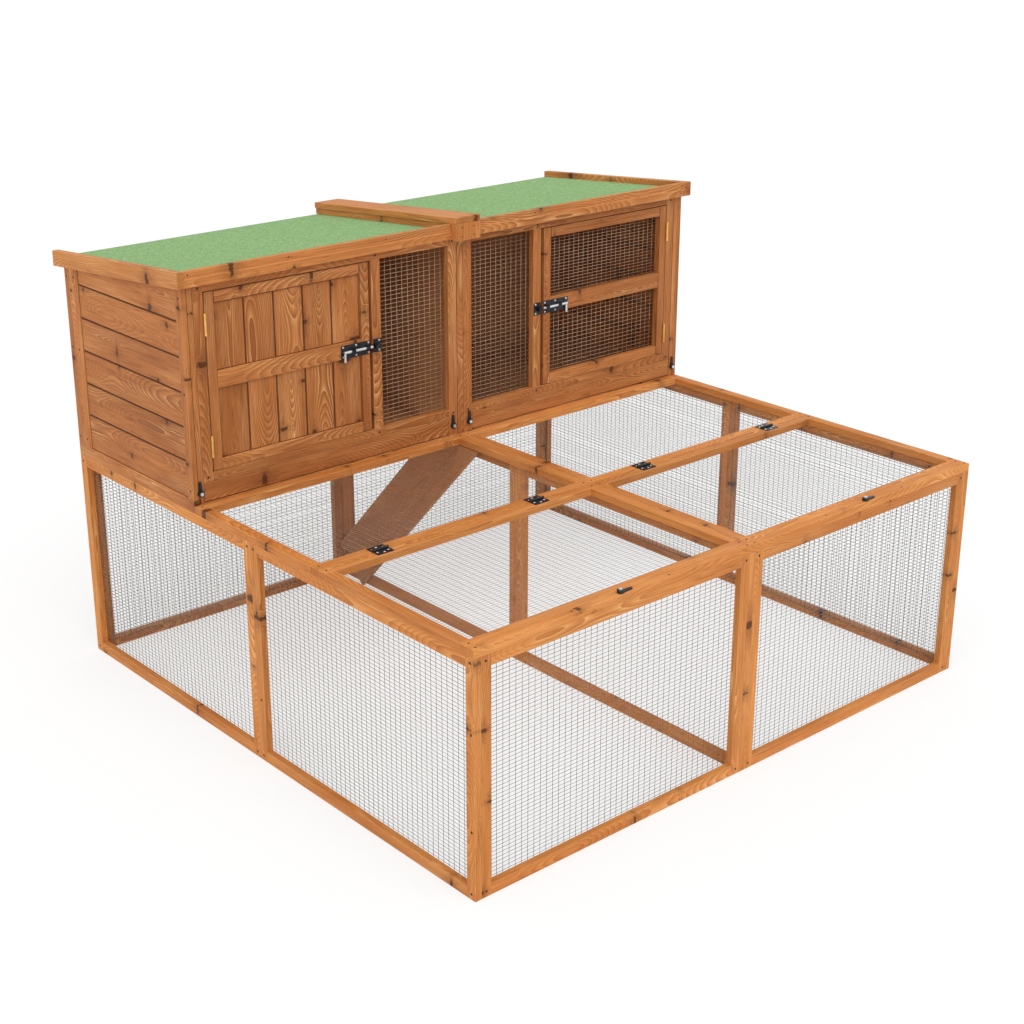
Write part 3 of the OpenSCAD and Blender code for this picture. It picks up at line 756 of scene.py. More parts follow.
@dataclass
class Joinery:
    """A set of boards that become one piece of the dressed model."""

    name: str
    boards: list[Board] = field(default_factory=list)

    def add(self, *boards: Board) -> Joinery:
        """Add boards and return the set."""
        self.boards.extend(boards)
        return self

    def both_sides(self, *boards: Board) -> Joinery:
        """Add boards and their mirror images.

        Args:
            boards: The boards of one side.

        Returns:
            The same set.
        """
        for b in boards:
            self.boards += [b, b.mirrored()]
        return self

    def build(self, finish: Material) -> Object:
        """Round every board's edges and join them to one mesh.

        Args:
            finish: The material of the boards.

        Returns:
            The mesh object, with each point's place on its own board.
        """
        flat_cos, end_cos = 0.9995, 0.8
        shifts = ((0.0, 9.0), (-0.03, 0.03), (-0.03, 0.05))
        rng = random.Random(seed_of(self.name))
        verts: list[Vector] = []
        faces: list[list[int]] = []
        where: list[float] = []
        marks: dict[str, list[float]] = {
            f"board_{mark}": [] for mark in ("tone", "edge", "end", "groove")}
        for board in self.boards:
            bm, normals = board.rounded()
            axes = board.axes(bm)
            mid = sum((v.co for v in bm.verts), Vector()) / len(bm.verts)
            off = [rng.uniform(*reach) for reach in shifts]
            tone = rng.random()
            base = len(verts)
            for v in bm.verts:
                verts.append(v.co.copy())
                where += [(v.co - mid).dot(k) + shift for k, shift in zip(axes, off)]
            for f in bm.faces:
                faces.append([base + v.index for v in f.verts])
                rim = not any(f.normal.dot(k) > flat_cos for k in normals)
                marks["board_tone"].append(tone)
                # Rims of plain boards carry the painted highlight, rims of gap-shaded boards the
                # painted shade.
                marks["board_edge"].append(float(rim and not board.gap_shaded))
                marks["board_groove"].append(float(rim and board.gap_shaded))
                marks["board_end"].append(float(abs(f.normal.dot(axes[0])) > end_cos))
            bm.free()
        mesh = bpy.data.meshes.new(self.name)
        mesh.from_pydata(verts, [], faces)
        points = mesh.attributes.new("board_place", "FLOAT_VECTOR", "POINT")
        points.data.foreach_set("vector", where)
        for label, values in marks.items():
            mesh.attributes.new(label, "FLOAT", "FACE").data.foreach_set("value", values)
        mesh.materials.append(finish)
        mesh.update()
        return add_object(self.name, mesh)


def lath_frame(lo: Point, hi: Point, long: Along, cross: Along) -> list[Board]:
    """Four laths round a rectangle: two over its whole length and two between them.

    Args:
        lo: The frame's lowest corner.
        hi: Its highest corner.
        long: The way of the two whole laths.
        cross: The way of the two laths between them.

    Returns:
        Its four boards.
    """
    w, axis = PLAN.rail_w, {Along.X: 0, Along.Y: 1, Along.Z: 2}
    boards = []
    for way, place_on in ((long, axis[cross]), (cross, axis[long])):
        for at_start in (True, False):
            a, b = list(lo), list(hi)
            if at_start:
                b[place_on] = lo[place_on] + w
            else:
                a[place_on] = hi[place_on] - w
            if way is cross:
                a[axis[cross]] += w
                b[axis[cross]] -= w
            boards.append(Board.box(tuple(a), tuple(b), way))
    return boards


class Hand(Enum):
    """The bay that a lid, door or tray belongs to. The right one mirrors the left one."""

    LEFT = "left"
    RIGHT = "right"

    def boards(self, *boards: Board) -> list[Board]:
        """Boards of the left bay as they lie in this one."""
        return [b if self is Hand.LEFT else b.mirrored() for b in boards]

    def points(self, points: Iterable[Point]) -> list[Point]:
        """Points of the left bay as they lie in this one."""
        return [p if self is Hand.LEFT else flipped(p) for p in points]


# ---- Repeated things ----


@dataclass
class Growth(Group):
    """A Geometry Nodes tree that makes a repeated thing, and the way to run it."""

    outputs: Sequence[tuple[str, str]] = (("Geometry", "Geometry"),)
    kind: str = "GeometryNodeTree"

    def run(self, name: str, mesh: bpy.types.Mesh, **values: object) -> Object:
        """Grow the tree on a mesh and keep the result as a plain mesh.

        Args:
            name: Name of the new piece.
            mesh: The mesh that the tree starts from.
            values: The tree's inputs, with spaces written as underscores.

        Returns:
            The finished object, with no modifier.
        """
        seed = add_object(f"{name}_seed", mesh)
        mod = seed.modifiers.new("grow", "NODES")
        mod.node_group = self.n.tree
        items = self.n.tree.interface.items_tree
        ids = {i.name: i.identifier for i in items if i.in_out == "INPUT"}
        for key, value in values.items():
            mod[ids[key.replace("_", " ")]] = value
        seed.update_tag()
        bpy.context.view_layer.update()
        graph = bpy.context.evaluated_depsgraph_get()
        grown = bpy.data.meshes.new_from_object(
            seed.evaluated_get(graph), preserve_all_data_layers=True, depsgraph=graph)
        seed.modifiers.clear()
        bpy.data.objects.remove(seed)
        grown.name = name
        return add_object(name, grown)


def net_growth() -> Growth:
    """The tree of a welded wire net that lies on the local xy plane.

    Returns:
        A tree whose inputs are the net's width and height, the wires' distances and
        their radius, in metres.
    """
    g = Growth("Welded net", [
        ("Geometry", "Geometry", None), ("Width", "Float", 0.8), ("Height", "Float", 0.5),
        ("Upright Pitch", "Float", 0.02), ("Level Pitch", "Float", 0.01),
        ("Wire Radius", "Float", 0.0005), ("Material", "Material", None),
    ])
    n, radius = g.n, g.of("Wire Radius")
    quarter, sides = math.pi / 2, 5
    layers = []
    for own, other, size, length, pitch, lift, turn in (
            ("X", "Y", "Width", "Height", "Upright Pitch", radius, (quarter, 0, 0)),
            ("Y", "X", "Height", "Width", "Level Pitch", n.mul(radius, 2.8), (0, quarter, 0))):
        span = n.minus(g.of(size), n.mul(radius, 2.0))
        gaps = n.math("ROUND", n.over(span, g.of(pitch)))
        start = {own: radius, other: n.mul(g.of(length), 0.5), "Z": lift}
        line = n.out("GeometryNodeMeshLine", mode="OFFSET", Count=n.plus(gaps, 1.0),
                     Start_Location=n.out("ShaderNodeCombineXYZ", **start),
                     Offset=n.out("ShaderNodeCombineXYZ", **{own: n.over(span, gaps)}))
        wire = n.out("GeometryNodeMeshCylinder", fill_type="NGON", Vertices=sides,
                     Radius=radius, Depth=g.of(length))
        layers.append(n.out("GeometryNodeInstanceOnPoints", Points=line, Instance=wire,
                            Rotation=turn))
    whole = n.out("GeometryNodeRealizeInstances", Geometry=n.joined(layers))
    n.set(g.end, Geometry=n.painted(whole, g.of("Material")))
    return g


def screw_growth() -> Growth:
    """The tree that sets a countersunk head with a cross recess on each point.

    Returns:
        A tree that reads the points' facing attribute and turns each head at random.
    """
    g = Growth("Screw heads", [
        ("Geometry", "Geometry", None), ("Head Radius", "Float", 0.003),
        ("Head Height", "Float", 0.0008), ("Seed", "Int", 7), ("Material", "Material", None),
        ("Recess", "Material", None),
    ])
    n, radius, height = g.n, g.of("Head Radius"), g.of("Head Height")
    head = n.out("GeometryNodeMeshCone", fill_type="NGON", Vertices=14, Radius_Bottom=radius,
                 Radius_Top=n.mul(radius, 0.82), Depth=height)
    parts = [n.painted(head, g.of("Material"))]
    # The cross recess is a thin raised cross in a near-black material: painted shade in the recess.
    for long, thin in ("YX", "XY"):
        size = {long: n.mul(radius, 1.1), thin: n.mul(radius, 0.26), "Z": n.mul(height, 0.3)}
        lift = n.out("ShaderNodeCombineXYZ", Z=n.mul(height, 0.88))
        bar = n.out("GeometryNodeMeshCube", Size=n.out("ShaderNodeCombineXYZ", **size))
        bar = n.out("GeometryNodeTransform", Geometry=bar, Translation=lift)
        parts.append(n.painted(bar, g.of("Recess")))
    facing = n.out("GeometryNodeInputNamedAttribute", data_type="FLOAT_VECTOR", Name="facing")
    turn = n.out("FunctionNodeAlignRotationToVector", axis="Z", Vector=facing)
    dice = n.add("FunctionNodeRandomValue", data_type="FLOAT", Seed=g.of("Seed"))
    highest, number = dice.inputs[3], dice.outputs[1]
    highest.default_value = math.pi
    spin = n.out("FunctionNodeAxisAngleToRotation", Angle=number)
    spin = n.out("FunctionNodeRotateRotation", rotation_space="LOCAL", Rotation=turn,
                 Rotate_By=spin)
    points = n.out("GeometryNodeMeshToPoints", Mesh=g.of("Geometry"))
    heads = n.out("GeometryNodeInstanceOnPoints", Points=points, Instance=n.joined(parts),
                  Rotation=spin)
    n.set(g.end, Geometry=n.out("GeometryNodeRealizeInstances", Geometry=heads))
    return g


@dataclass
class Screws:
    """Screw heads of one size on one body."""

    name: str
    radius: float
    height: float
    spots: list[tuple[Point, Side]] = field(default_factory=list)

    def at(self, side: Side, points: Iterable[Point]) -> Screws:
        """Add heads that face one side, by the points under them, and return the set."""
        self.spots += [(point, side) for point in points]
        return self

    def at_both(self, side: Side, points: Iterable[Point]) -> Screws:
        """Add heads and their mirror images.

        Args:
            side: The way that the heads face.
            points: The points under them.

        Returns:
            The same set.
        """
        for point in points:
            self.spots += [(point, side), (flipped(point), side.mirrored)]
        return self

    def build(self, growth: Growth, metal: Material, recess: Material) -> Object:
        """Grow the heads on their points.

        Args:
            growth: The tree of the screw heads.
            metal: The heads' material.
            recess: The material inside the cross recess.

        Returns:
            The finished mesh object.
        """
        mesh = bpy.data.meshes.new(f"{self.name}_points")
        mesh.from_pydata([place(p) for p, _ in self.spots], [], [])
        facing = mesh.attributes.new("facing", "FLOAT_VECTOR", "POINT")
        facing.data.foreach_set("vector", [c for _, s in self.spots for c in s.value])
        return growth.run(self.name, mesh, Head_Radius=metres(self.radius),
                          Head_Height=metres(self.height), Seed=seed_of(self.name) % 1000,
                          Material=metal, Recess=recess)


@dataclass
class Net:
    """One flat net: where it lies, how large it is and how it is turned."""

    corner: Point
    width: float
    height: float
    side: Side
    upright: float = 19.7
    level: float = 10.4
    radius: float = 0.6
    flat: float = 1.0

    def axes(self) -> Matrix:
        """The turn and shift from the net's own plane to the wall's plane.

        Returns:
            The matrix, which is a mirror for some of the sides.
        """
        across, up, out = Vector((1, 0, 0)), Vector((0, 0, 1)), Vector(self.side.value)
        if self.side in (Side.LEFT, Side.RIGHT):
            across = Vector((0, 1, 0))
        elif self.side is Side.UP:
            up, out = Vector((0, 1, 0)), Vector((0, 0, -1))
        turn = Matrix((across, up, out * self.flat)).transposed().to_4x4()
        return Matrix.Translation(place(self.corner)) @ turn


def build_nets(name: str, nets: Sequence[Net], growth: Growth, wire: Material) -> Object:
    """Grow several nets and join them to one piece.

    Args:
        name: The piece's name.
        nets: The nets.
        growth: The tree of the welded net.
        wire: The wire's material.

    Returns:
        The joined mesh object.
    """
    bm = bmesh.new()
    for i, net in enumerate(nets):
        part = growth.run(
            f"{name}_{i}", bpy.data.meshes.new(f"{name}_blank"), Width=metres(net.width),
            Height=metres(net.height), Upright_Pitch=metres(net.upright),
            Level_Pitch=metres(net.level), Wire_Radius=metres(net.radius), Material=wire)
        mesh, turn = part.data, net.axes()
        mesh.transform(turn)
        if turn.determinant() < 0:
            mesh.flip_normals()
        bm.from_mesh(mesh)
        bpy.data.objects.remove(part)
        bpy.data.meshes.remove(mesh)
    mesh = bpy.data.meshes.new(name)
    bm.to_mesh(mesh)
    bm.free()
    mesh.materials.clear()
    mesh.materials.append(wire)
    for poly in mesh.polygons:
        poly.use_smooth = True
        poly.material_index = 0
    return add_object(name, mesh)


# ---- Sub-assemblies ----


@dataclass
class Workshop:
    """What every sub-assembly needs: the trees, the CAD nodes and the materials."""

    net: Growth
    screw: Growth
    nodes: dict[str, Object]
    paint: dict[Finish, Material]

    def hand_over(self, piece: Object, body: str, slot: str, *nodes: str) -> None:
        """Let a piece ride on its body and stand for its CAD nodes.

        Args:
            piece: The finished object.
            body: The CAD body that it moves with.
            slot: The record's material slot; not used.
            nodes: The CAD nodes that it stands for.
        """
        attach(piece, body)
        if nodes:
            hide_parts(*nodes)
        LOG.info("%s: %d faces on %s", piece.name, len(piece.data.polygons), body)

    def timber(self, made: Joinery, finish: Finish, body: str, *nodes: str) -> None:
        """Build a set of boards and hand it over."""
        self.hand_over(made.build(self.paint[finish]), body, finish.value.slot, *nodes)

    def mesh(self, name: str, nets: Sequence[Net], wire: Finish, body: str, node: str) -> None:
        """Build a piece of nets and hand it over."""
        piece = build_nets(name, nets, self.net, self.paint[wire])
        self.hand_over(piece, body, "galvanised_wire", node)

    def screws(self, screws: Screws, metal: Finish, body: str) -> None:
        """Build a set of screws and hand it over."""
        piece = screws.build(self.screw, self.paint[metal], self.paint[Finish.RECESS])
        self.hand_over(piece, body, "zinc_plate")

    def dress(self, finish: Finish, *nodes: str) -> None:
        """Give CAD nodes their material.

        Args:
            finish: The finish.
            nodes: The CAD nodes.
        """
        for node in nodes:
            materials = self.nodes[node].data.materials
            materials.clear()
            materials.append(self.paint[finish])
            LOG.info("%s: dressed as %s", node, finish.value.name)


@dataclass
class RunWalls:
    """The mesh walls and the partition of the run."""

    shop: Workshop
    screw_in: float = 14.0
    screw_up: float = 15.0
    stile_screws: Span = (12.0, 867.0)
    stile_heights: Span = (180.0, 430.0)
    screw_sunk: float = 0.55
    screw_head: Span = (3.8, 0.5)

    def build(self) -> None:
        """Build the frames, their nets and their screws."""
        p = PLAN
        for label, node, x in (("left", "left_wall_frames", 0.0),
                               ("right", "right_wall_frames", p.run_w - p.timber_t),
                               ("partition", "partition_frames", p.bay_r)):
            made = Joinery(f"{label}_run_timber")
            for y0, y1 in ((0.0, p.mid_y - p.joint / 2), (p.mid_y + p.joint / 2, p.run_d)):
                made.add(*lath_frame((x, y0, 0), (x + p.timber_t, y1, p.wall_h), Along.Z, Along.Y))
            self.shop.timber(made, Finish.RUN, HOUSING, node)
        for label, y, sunk in (("front", 0.0, p.front_sunk), ("rear", p.run_d - p.timber_t, 0.0)):
            boards = lath_frame((p.timber_t + p.joint, y + sunk, 0),
                                (p.bay_r - p.joint, y + p.timber_t, p.wall_h), Along.Z, Along.X)
            self.shop.timber(Joinery(f"{label}_run_timber").both_sides(*boards), Finish.RUN,
                             HOUSING, f"{label}_wall_frames")
        self.nets()
        self.screws()

    def nets(self) -> None:
        """Hang the nets on the walls' inner faces."""
        p = PLAN
        inset, tall, long = p.inset, p.wall_h - 2 * p.inset, p.mid_y - 2 * p.inset
        x0 = p.timber_t + p.joint + inset
        wide = p.bay_r - p.joint - inset - x0
        walls = {
            label: [Net((x, y, inset), long, tall, side) for y in (inset, p.mid_y + inset)]
            for label, x, side in (("left", p.timber_t, Side.RIGHT),
                                   ("right", p.run_w - p.timber_t, Side.LEFT))}
        walls |= {
            label: [Net((x, y, inset), wide, tall, side) for x in (x0, p.run_w - x0 - wide)]
            for label, y, side in (("front", p.timber_t, Side.BACK),
                                   ("rear", p.run_d - p.timber_t, Side.FRONT))}
        for label, nets in walls.items():
            self.shop.mesh(f"{label}_run_mesh", nets, Finish.WIRE, HOUSING, f"{label}_wall_nets")

    def screws(self) -> None:
        """Set the screws at the frames' corners and in the side walls' stiles."""
        p, off = PLAN, self.screw_in
        heights = (self.screw_up, p.wall_h - self.screw_up)
        ends = (off, p.mid_y - off, p.mid_y + off, p.run_d - off)
        s = Screws("run_wall_screws", *self.screw_head)
        s.at_both(Side.LEFT, [(0.0, y, z) for y in ends for z in heights])
        s.at_both(Side.LEFT, [(0.0, y, z) for z in self.stile_heights for y in self.stile_screws])
        s.at_both(Side.FRONT, [(x, self.screw_sunk, z) for x in (p.timber_t + off, p.bay_r - off)
                               for z in heights])
        self.shop.screws(s, Finish.SCREW, HOUSING)


@dataclass
class RunTop:
    """The front top rail, the fixed frames and the two lids."""

    shop: Workshop
    hinge_x: Span = (190.0, 712.0)
    leaf_holes: tuple[Span, ...] = ((-17.0, 11.0), (0.0, 18.0), (17.0, 11.0))
    leaf_t: float = 1.8
    hinge_screw: Span = (3.2, 0.7)
    timber_screw: Span = (3.0, 0.4)
    corner: float = 15.0
    rail_screw_y: float = 10.0
    rail_screws: tuple[float, ...] = (12.0, 300.0, 620.0, PLAN.mid_x - 14)

    def build(self) -> None:
        """Build the timber, nets, hinges, buttons and screws on top of the run."""
        p, shop = PLAN, self.shop
        rail = Board.box((0, p.front_sunk, p.wall_h), (p.run_w, p.timber_t, p.top_z), Along.X)
        shop.timber(Joinery("front_top_timber").add(rail), Finish.RUN, HOUSING, "front_top_rail")
        boards, nets = self.bay(p.strip_y, p.strip_back, p.wall_h)
        shop.timber(Joinery("top_strip_timber").both_sides(*boards), Finish.RUN, HOUSING,
                    "top_strip_frames")
        shop.mesh("top_strip_mesh", nets, Finish.WIRE, HOUSING, "top_strip_nets")
        boards, nets = self.bay(p.lid_y, p.lid_back, p.wall_h + p.seat)
        for hand, net in zip(Hand, nets):
            lid = f"{hand.value}_lid"
            made = Joinery(f"{lid}_timber").add(*hand.boards(*boards))
            shop.timber(made, Finish.RUN, lid, f"{lid}_frame")
            shop.mesh(f"{lid}_mesh", [net], Finish.WIRE, lid, f"{lid}_net")
            shop.dress(Finish.BLACK, f"{lid}_hinge_leaves", f"{lid}_button")
        shop.dress(Finish.BLACK, "lid_hinge_fixed_leaves")
        self.screws()

    def bay(self, y0: float, y1: float, z: float) -> tuple[list[Board], list[Net]]:
        """The frame that lies on the left bay between two depths, and both bays' nets.

        Args:
            y0: The frame's front.
            y1: Its back.
            z: Its underside.

        Returns:
            The boards of the left frame, and the left and the right net.
        """
        p = PLAN
        right = p.mid_x - p.joint
        wide, deep = right - 2 * p.inset, y1 - y0 - 2 * p.inset
        nets = [Net((x, y0 + p.inset, z), wide, deep, Side.UP, flat=0.4)
                for x in (p.inset, p.run_w - p.inset - wide)]
        return lath_frame((0, y0, z), (right, y1, p.top_z), Along.X, Along.Y), nets

    def screws(self) -> None:
        """Set the hinges' silver screws and the timber's dark ones."""
        p, shop = PLAN, self.shop
        still, moving = (
            [(x + dx, p.hinge_y + way * dy, p.top_z + self.leaf_t) for x in self.hinge_x
             for dx, dy in self.leaf_holes] for way in (1, -1))
        ends = (self.corner, p.mid_x - self.corner)
        corners = [(x, y, p.top_z) for x in ends
                   for y in (p.lid_y + self.corner, p.lid_back - self.corner)]
        shop.screws(Screws("lid_hinge_screws", *self.hinge_screw).at_both(Side.UP, still),
                    Finish.ZINC, HOUSING)
        for hand in Hand:
            lid = f"{hand.value}_lid"
            bright = Screws(f"{lid}_screws", *self.hinge_screw)
            shop.screws(bright.at(Side.UP, hand.points(moving)), Finish.ZINC, lid)
            dark = Screws(f"{lid}_corner_screws", *self.timber_screw)
            shop.screws(dark.at(Side.UP, hand.points(corners)), Finish.SCREW, lid)
        top = Screws("top_rail_screws", *self.timber_screw)
        top.at_both(Side.UP, [(x, self.rail_screw_y, p.top_z) for x in self.rail_screws])
        top.at_both(Side.UP, [(x, y, p.top_z) for y in (p.strip_y + self.corner,
                                                        p.strip_back - self.corner) for x in ends])
        shop.screws(top, Finish.SCREW, HOUSING)


@dataclass
class HutchBox:
    """The hutch's base, front frames, ends, back and inside walls."""

    shop: Workshop
    frame_x: float = 33.5
    doorway_x: float = 63.5
    mid_stile_x: float = 599.5
    window_x: float = 629.5
    centre_stile_x: float = 872.0
    stile_w: float = 30.0
    strip_w: float = 26.0
    bearer_top: float = 635.8
    stop_x: Span = (579.5, 605.5)
    stop_t: float = 10.0
    stop_gap: float = 1.5
    end_t: float = 15.0
    end_front_w: float = 29.0
    end_rear: float = 71.0
    end_corner: float = 26.0
    back_stile: float = 30.0
    board_t: float = 9.0
    board_pitch: float = 94.5
    first_board: float = 104.0
    rows: int = 7
    least_board: float = 4.0
    groove: float = 1.5
    post_gap: float = 0.5
    board_in: float = 3.0
    end_lining: Span = (7.0, 9.0)
    back_board: Span = (5.0, 13.0)
    back_lining: Span = (4.0, 6.0)
    window_pitch: Span = (19.4, 12.3)
    screw_head: Span = (3.4, 0.4)
    screw_up: float = 12.0
    end_screws_y: Point = (14.0, 50.0, 12.0)
    end_screws_z: Point = (24.0, 290.0, 40.0)

    def build(self) -> None:
        """Build the box's timber, the windows' nets and the dressed CAD nodes."""
        self.base()
        self.front()
        self.ends()
        self.back()
        self.shop.dress(Finish.PANEL, "hutch_floor_panels", "inner_walls")
        self.windows()
        self.screws()

    def timber(self, made: Joinery, *nodes: str) -> None:
        """Build boards of the hutch's own timber."""
        self.shop.timber(made, Finish.HUTCH, HOUSING, *nodes)

    def base(self) -> None:
        """The rails on which the hutch stands."""
        p = PLAN
        t, low = p.timber_t, p.wall_h
        front, back = p.front_back + p.joint, p.run_d - t - p.joint
        made = Joinery("hutch_base_timber").both_sides(
            Board.box((0, p.hutch_y, low), (t, p.run_d, p.end_z), Along.Y),
            Board.box((t + p.joint, front, low), (2 * t, back, self.bearer_top), Along.Y))
        for y0, y1 in ((p.hutch_y, p.front_back), (p.run_d - t, p.run_d)):
            made.add(Board.box((t + p.joint, y0, low), (p.run_w - t - p.joint, y1, p.floor_z),
                               Along.X))
        made.add(Board.box((p.mid_x - t, front, low), (p.mid_x + t, back, self.bearer_top),
                           Along.Y))
        self.timber(made, "hutch_base_rails")

    def front(self) -> None:
        """The corner posts, the centre strip and the two front frames."""
        p, w = PLAN, self.stile_w
        half = self.strip_w / 2
        y0, y1, top = p.hutch_y, p.front_back, p.front_top
        posts = Joinery("front_post_timber")
        # The posts and the centre strip get painted shade on their rounded edges for the gaps
        # beside them.
        posts.both_sides(self.notched((y0, y1), self.frame_x - self.post_gap, (top, top)).with_gap_shade())
        posts.add(Board.box((p.mid_x - half + p.joint / 2, y0, p.floor_z),
                            (p.mid_x + half - p.joint / 2, y1, top), Along.Z, Edge.GAP).with_gap_shade())
        self.timber(posts, "front_posts")
        door, b = self.doorway_x, self.centre_stile_x
        boards = [
            Board.box((self.frame_x, y0, p.sill_z), (door, y1, top), Along.Z),
            Board.box((door, y0, p.sill_z), (b, y1, p.door_z), Along.X),
            Board.box((door, y0, p.head_z), (b, y1, top), Along.X),
            Board.box((self.mid_stile_x, y0, p.door_z), (self.window_x, y1, p.head_z), Along.Z),
            Board.box((b, y0, p.floor_z), (b + w, y1, top), Along.Z),
            Board.box((self.stop_x[0], y1, p.door_z + self.stop_gap),
                      (self.stop_x[1], y1 + self.stop_t, p.head_z - self.stop_gap), Along.Z),
        ]
        for hand in Hand:
            made = Joinery(f"{hand.value}_front_timber").add(*hand.boards(*boards))
            self.timber(made, f"{hand.value}_front_frame")

    def notched(self, ys: Span, right: float, tops: Span) -> Board:
        """A corner post that is notched at its foot over the side base rail.

        Args:
            ys: Its front and back.
            right: Its inner side.
            tops: The heights of its front and back top edges.

        Returns:
            The post.
        """
        p = PLAN
        left, step, lift = self.end_t + p.joint / 2, p.timber_t + p.joint, p.end_z + p.joint
        corners = [(x, y, z) for y, top in zip(ys, tops)
                   for x, z in ((step, p.floor_z), (right, p.floor_z), (right, top), (left, top),
                                (left, lift), (step, lift))]
        return Board(corners, Along.Z.value)

    def sloped(self, xs: Span, ys: Span, foot: float, along: Along, edge: Edge = Edge.LATH,
               level: float = math.inf) -> Board:
        """An upright or board whose top may be cut by the roof.

        Args:
            xs: Its left and right side.
            ys: Its front and back.
            foot: Its underside.
            along: The way of its grain.
            edge: How its edges are rounded.
            level: Its level top, which the roof may cut.

        Returns:
            The board.
        """
        tops = [min(level, PLAN.under_roof(y)) for y in ys]
        outline = [(ys[0], foot), (ys[1], foot), (ys[1], tops[1]), (ys[0], tops[0])]
        return Board.drawn(xs, outline, along.value, edge)

    def ends(self) -> None:
        """The end walls' stiles and level boards."""
        p = PLAN
        front, rear = p.hutch_y + self.end_front_w, p.run_d - self.end_rear
        corner = p.run_d - self.end_corner
        stiles = [self.sloped((0, self.end_t), ys, p.end_z, Along.Z) for ys in (
            (p.hutch_y, front), (rear, corner), (corner + p.joint, p.run_d))]
        self.timber(Joinery("end_stile_timber").both_sides(*stiles), "end_stiles")
        xs, ys = (self.board_in, self.board_in + self.board_t), (front + p.joint, rear - p.joint)
        made = Joinery("end_board_timber")
        foot = p.end_z
        for i in range(self.rows):
            seam = p.end_z + self.first_board + i * self.board_pitch
            if foot < p.under_roof(ys[1]) - self.least_board:
                made.both_sides(self.sloped(xs, ys, foot, Along.Y,
                                            Edge.BOARDING, seam - self.groove).with_gap_shade())
            foot = seam
        made.both_sides(self.sloped(self.end_lining, ys, p.end_z, Along.Y, Edge.SHEET).with_gap_shade())
        self.timber(made, "end_boards")

    def back(self) -> None:
        """The back's uprights, level boards and lining."""
        p, half = PLAN, self.back_stile / 2
        y0, side = p.run_d - p.timber_t, self.end_t + self.back_stile
        left = self.notched((y0, p.run_d), side, (p.under_roof(y0), p.under_roof(p.run_d)))
        mid = self.sloped((p.mid_x - half, p.mid_x + half), (y0, p.run_d), p.floor_z, Along.Z)
        self.timber(Joinery("back_stile_timber").both_sides(left).add(mid), "back_stiles")
        xs = (side + p.joint, p.mid_x - half - p.joint)
        board_y, lining_y = ((y0 + a, y0 + b) for a, b in (self.back_board, self.back_lining))
        made = Joinery("back_board_timber")
        for i in range(self.rows):
            foot = p.floor_z + i * self.board_pitch
            if foot < p.under_roof(p.run_d) - self.least_board:
                made.both_sides(self.sloped(
                    xs, board_y, foot, Along.X, Edge.BOARDING,
                    foot + self.board_pitch - self.groove).with_gap_shade())
        self.timber(made, "back_boards")
        lining = self.sloped(xs, lining_y, p.floor_z, Along.X, Edge.SHEET)
        self.shop.timber(Joinery("back_lining_sheet").both_sides(lining), Finish.LINING, HOUSING)

    def windows(self) -> None:
        """The nets behind the two windows."""
        p = PLAN
        wide = self.centre_stile_x - self.window_x + 2 * p.lap
        tall = p.head_z - p.door_z + 2 * p.lap
        x0 = self.window_x - p.lap
        low = p.door_z - p.lap
        nets = [Net((x, p.front_back, low), wide, tall, Side.BACK, *self.window_pitch)
                for x in (x0, p.run_w - x0 - wide)]
        # The nets get the lighter, warmer wire: painted light.
        self.shop.mesh("window_mesh", nets, Finish.WARM_WIRE, HOUSING, "window_nets")

    def screws(self) -> None:
        """Set the screws of the hutch's front and ends."""
        p, half = PLAN, self.stile_w / 2
        front, rear, last = self.end_screws_y
        low, mid, high = self.end_screws_z
        s = Screws("hutch_screws", *self.screw_head)
        s.at_both(Side.FRONT, [
            (x + half, p.hutch_y, z + self.screw_up) for z in (p.sill_z, p.head_z)
            for x in (self.frame_x, self.centre_stile_x, self.mid_stile_x)])
        s.at_both(Side.LEFT, [
            (0.0, y, z) for y in (p.hutch_y + front, p.run_d - rear, p.run_d - last)
            for z in (p.end_z + low, p.end_z + mid, p.under_roof(y) - high)])
        self.shop.screws(s, Finish.SCREW, HOUSING)


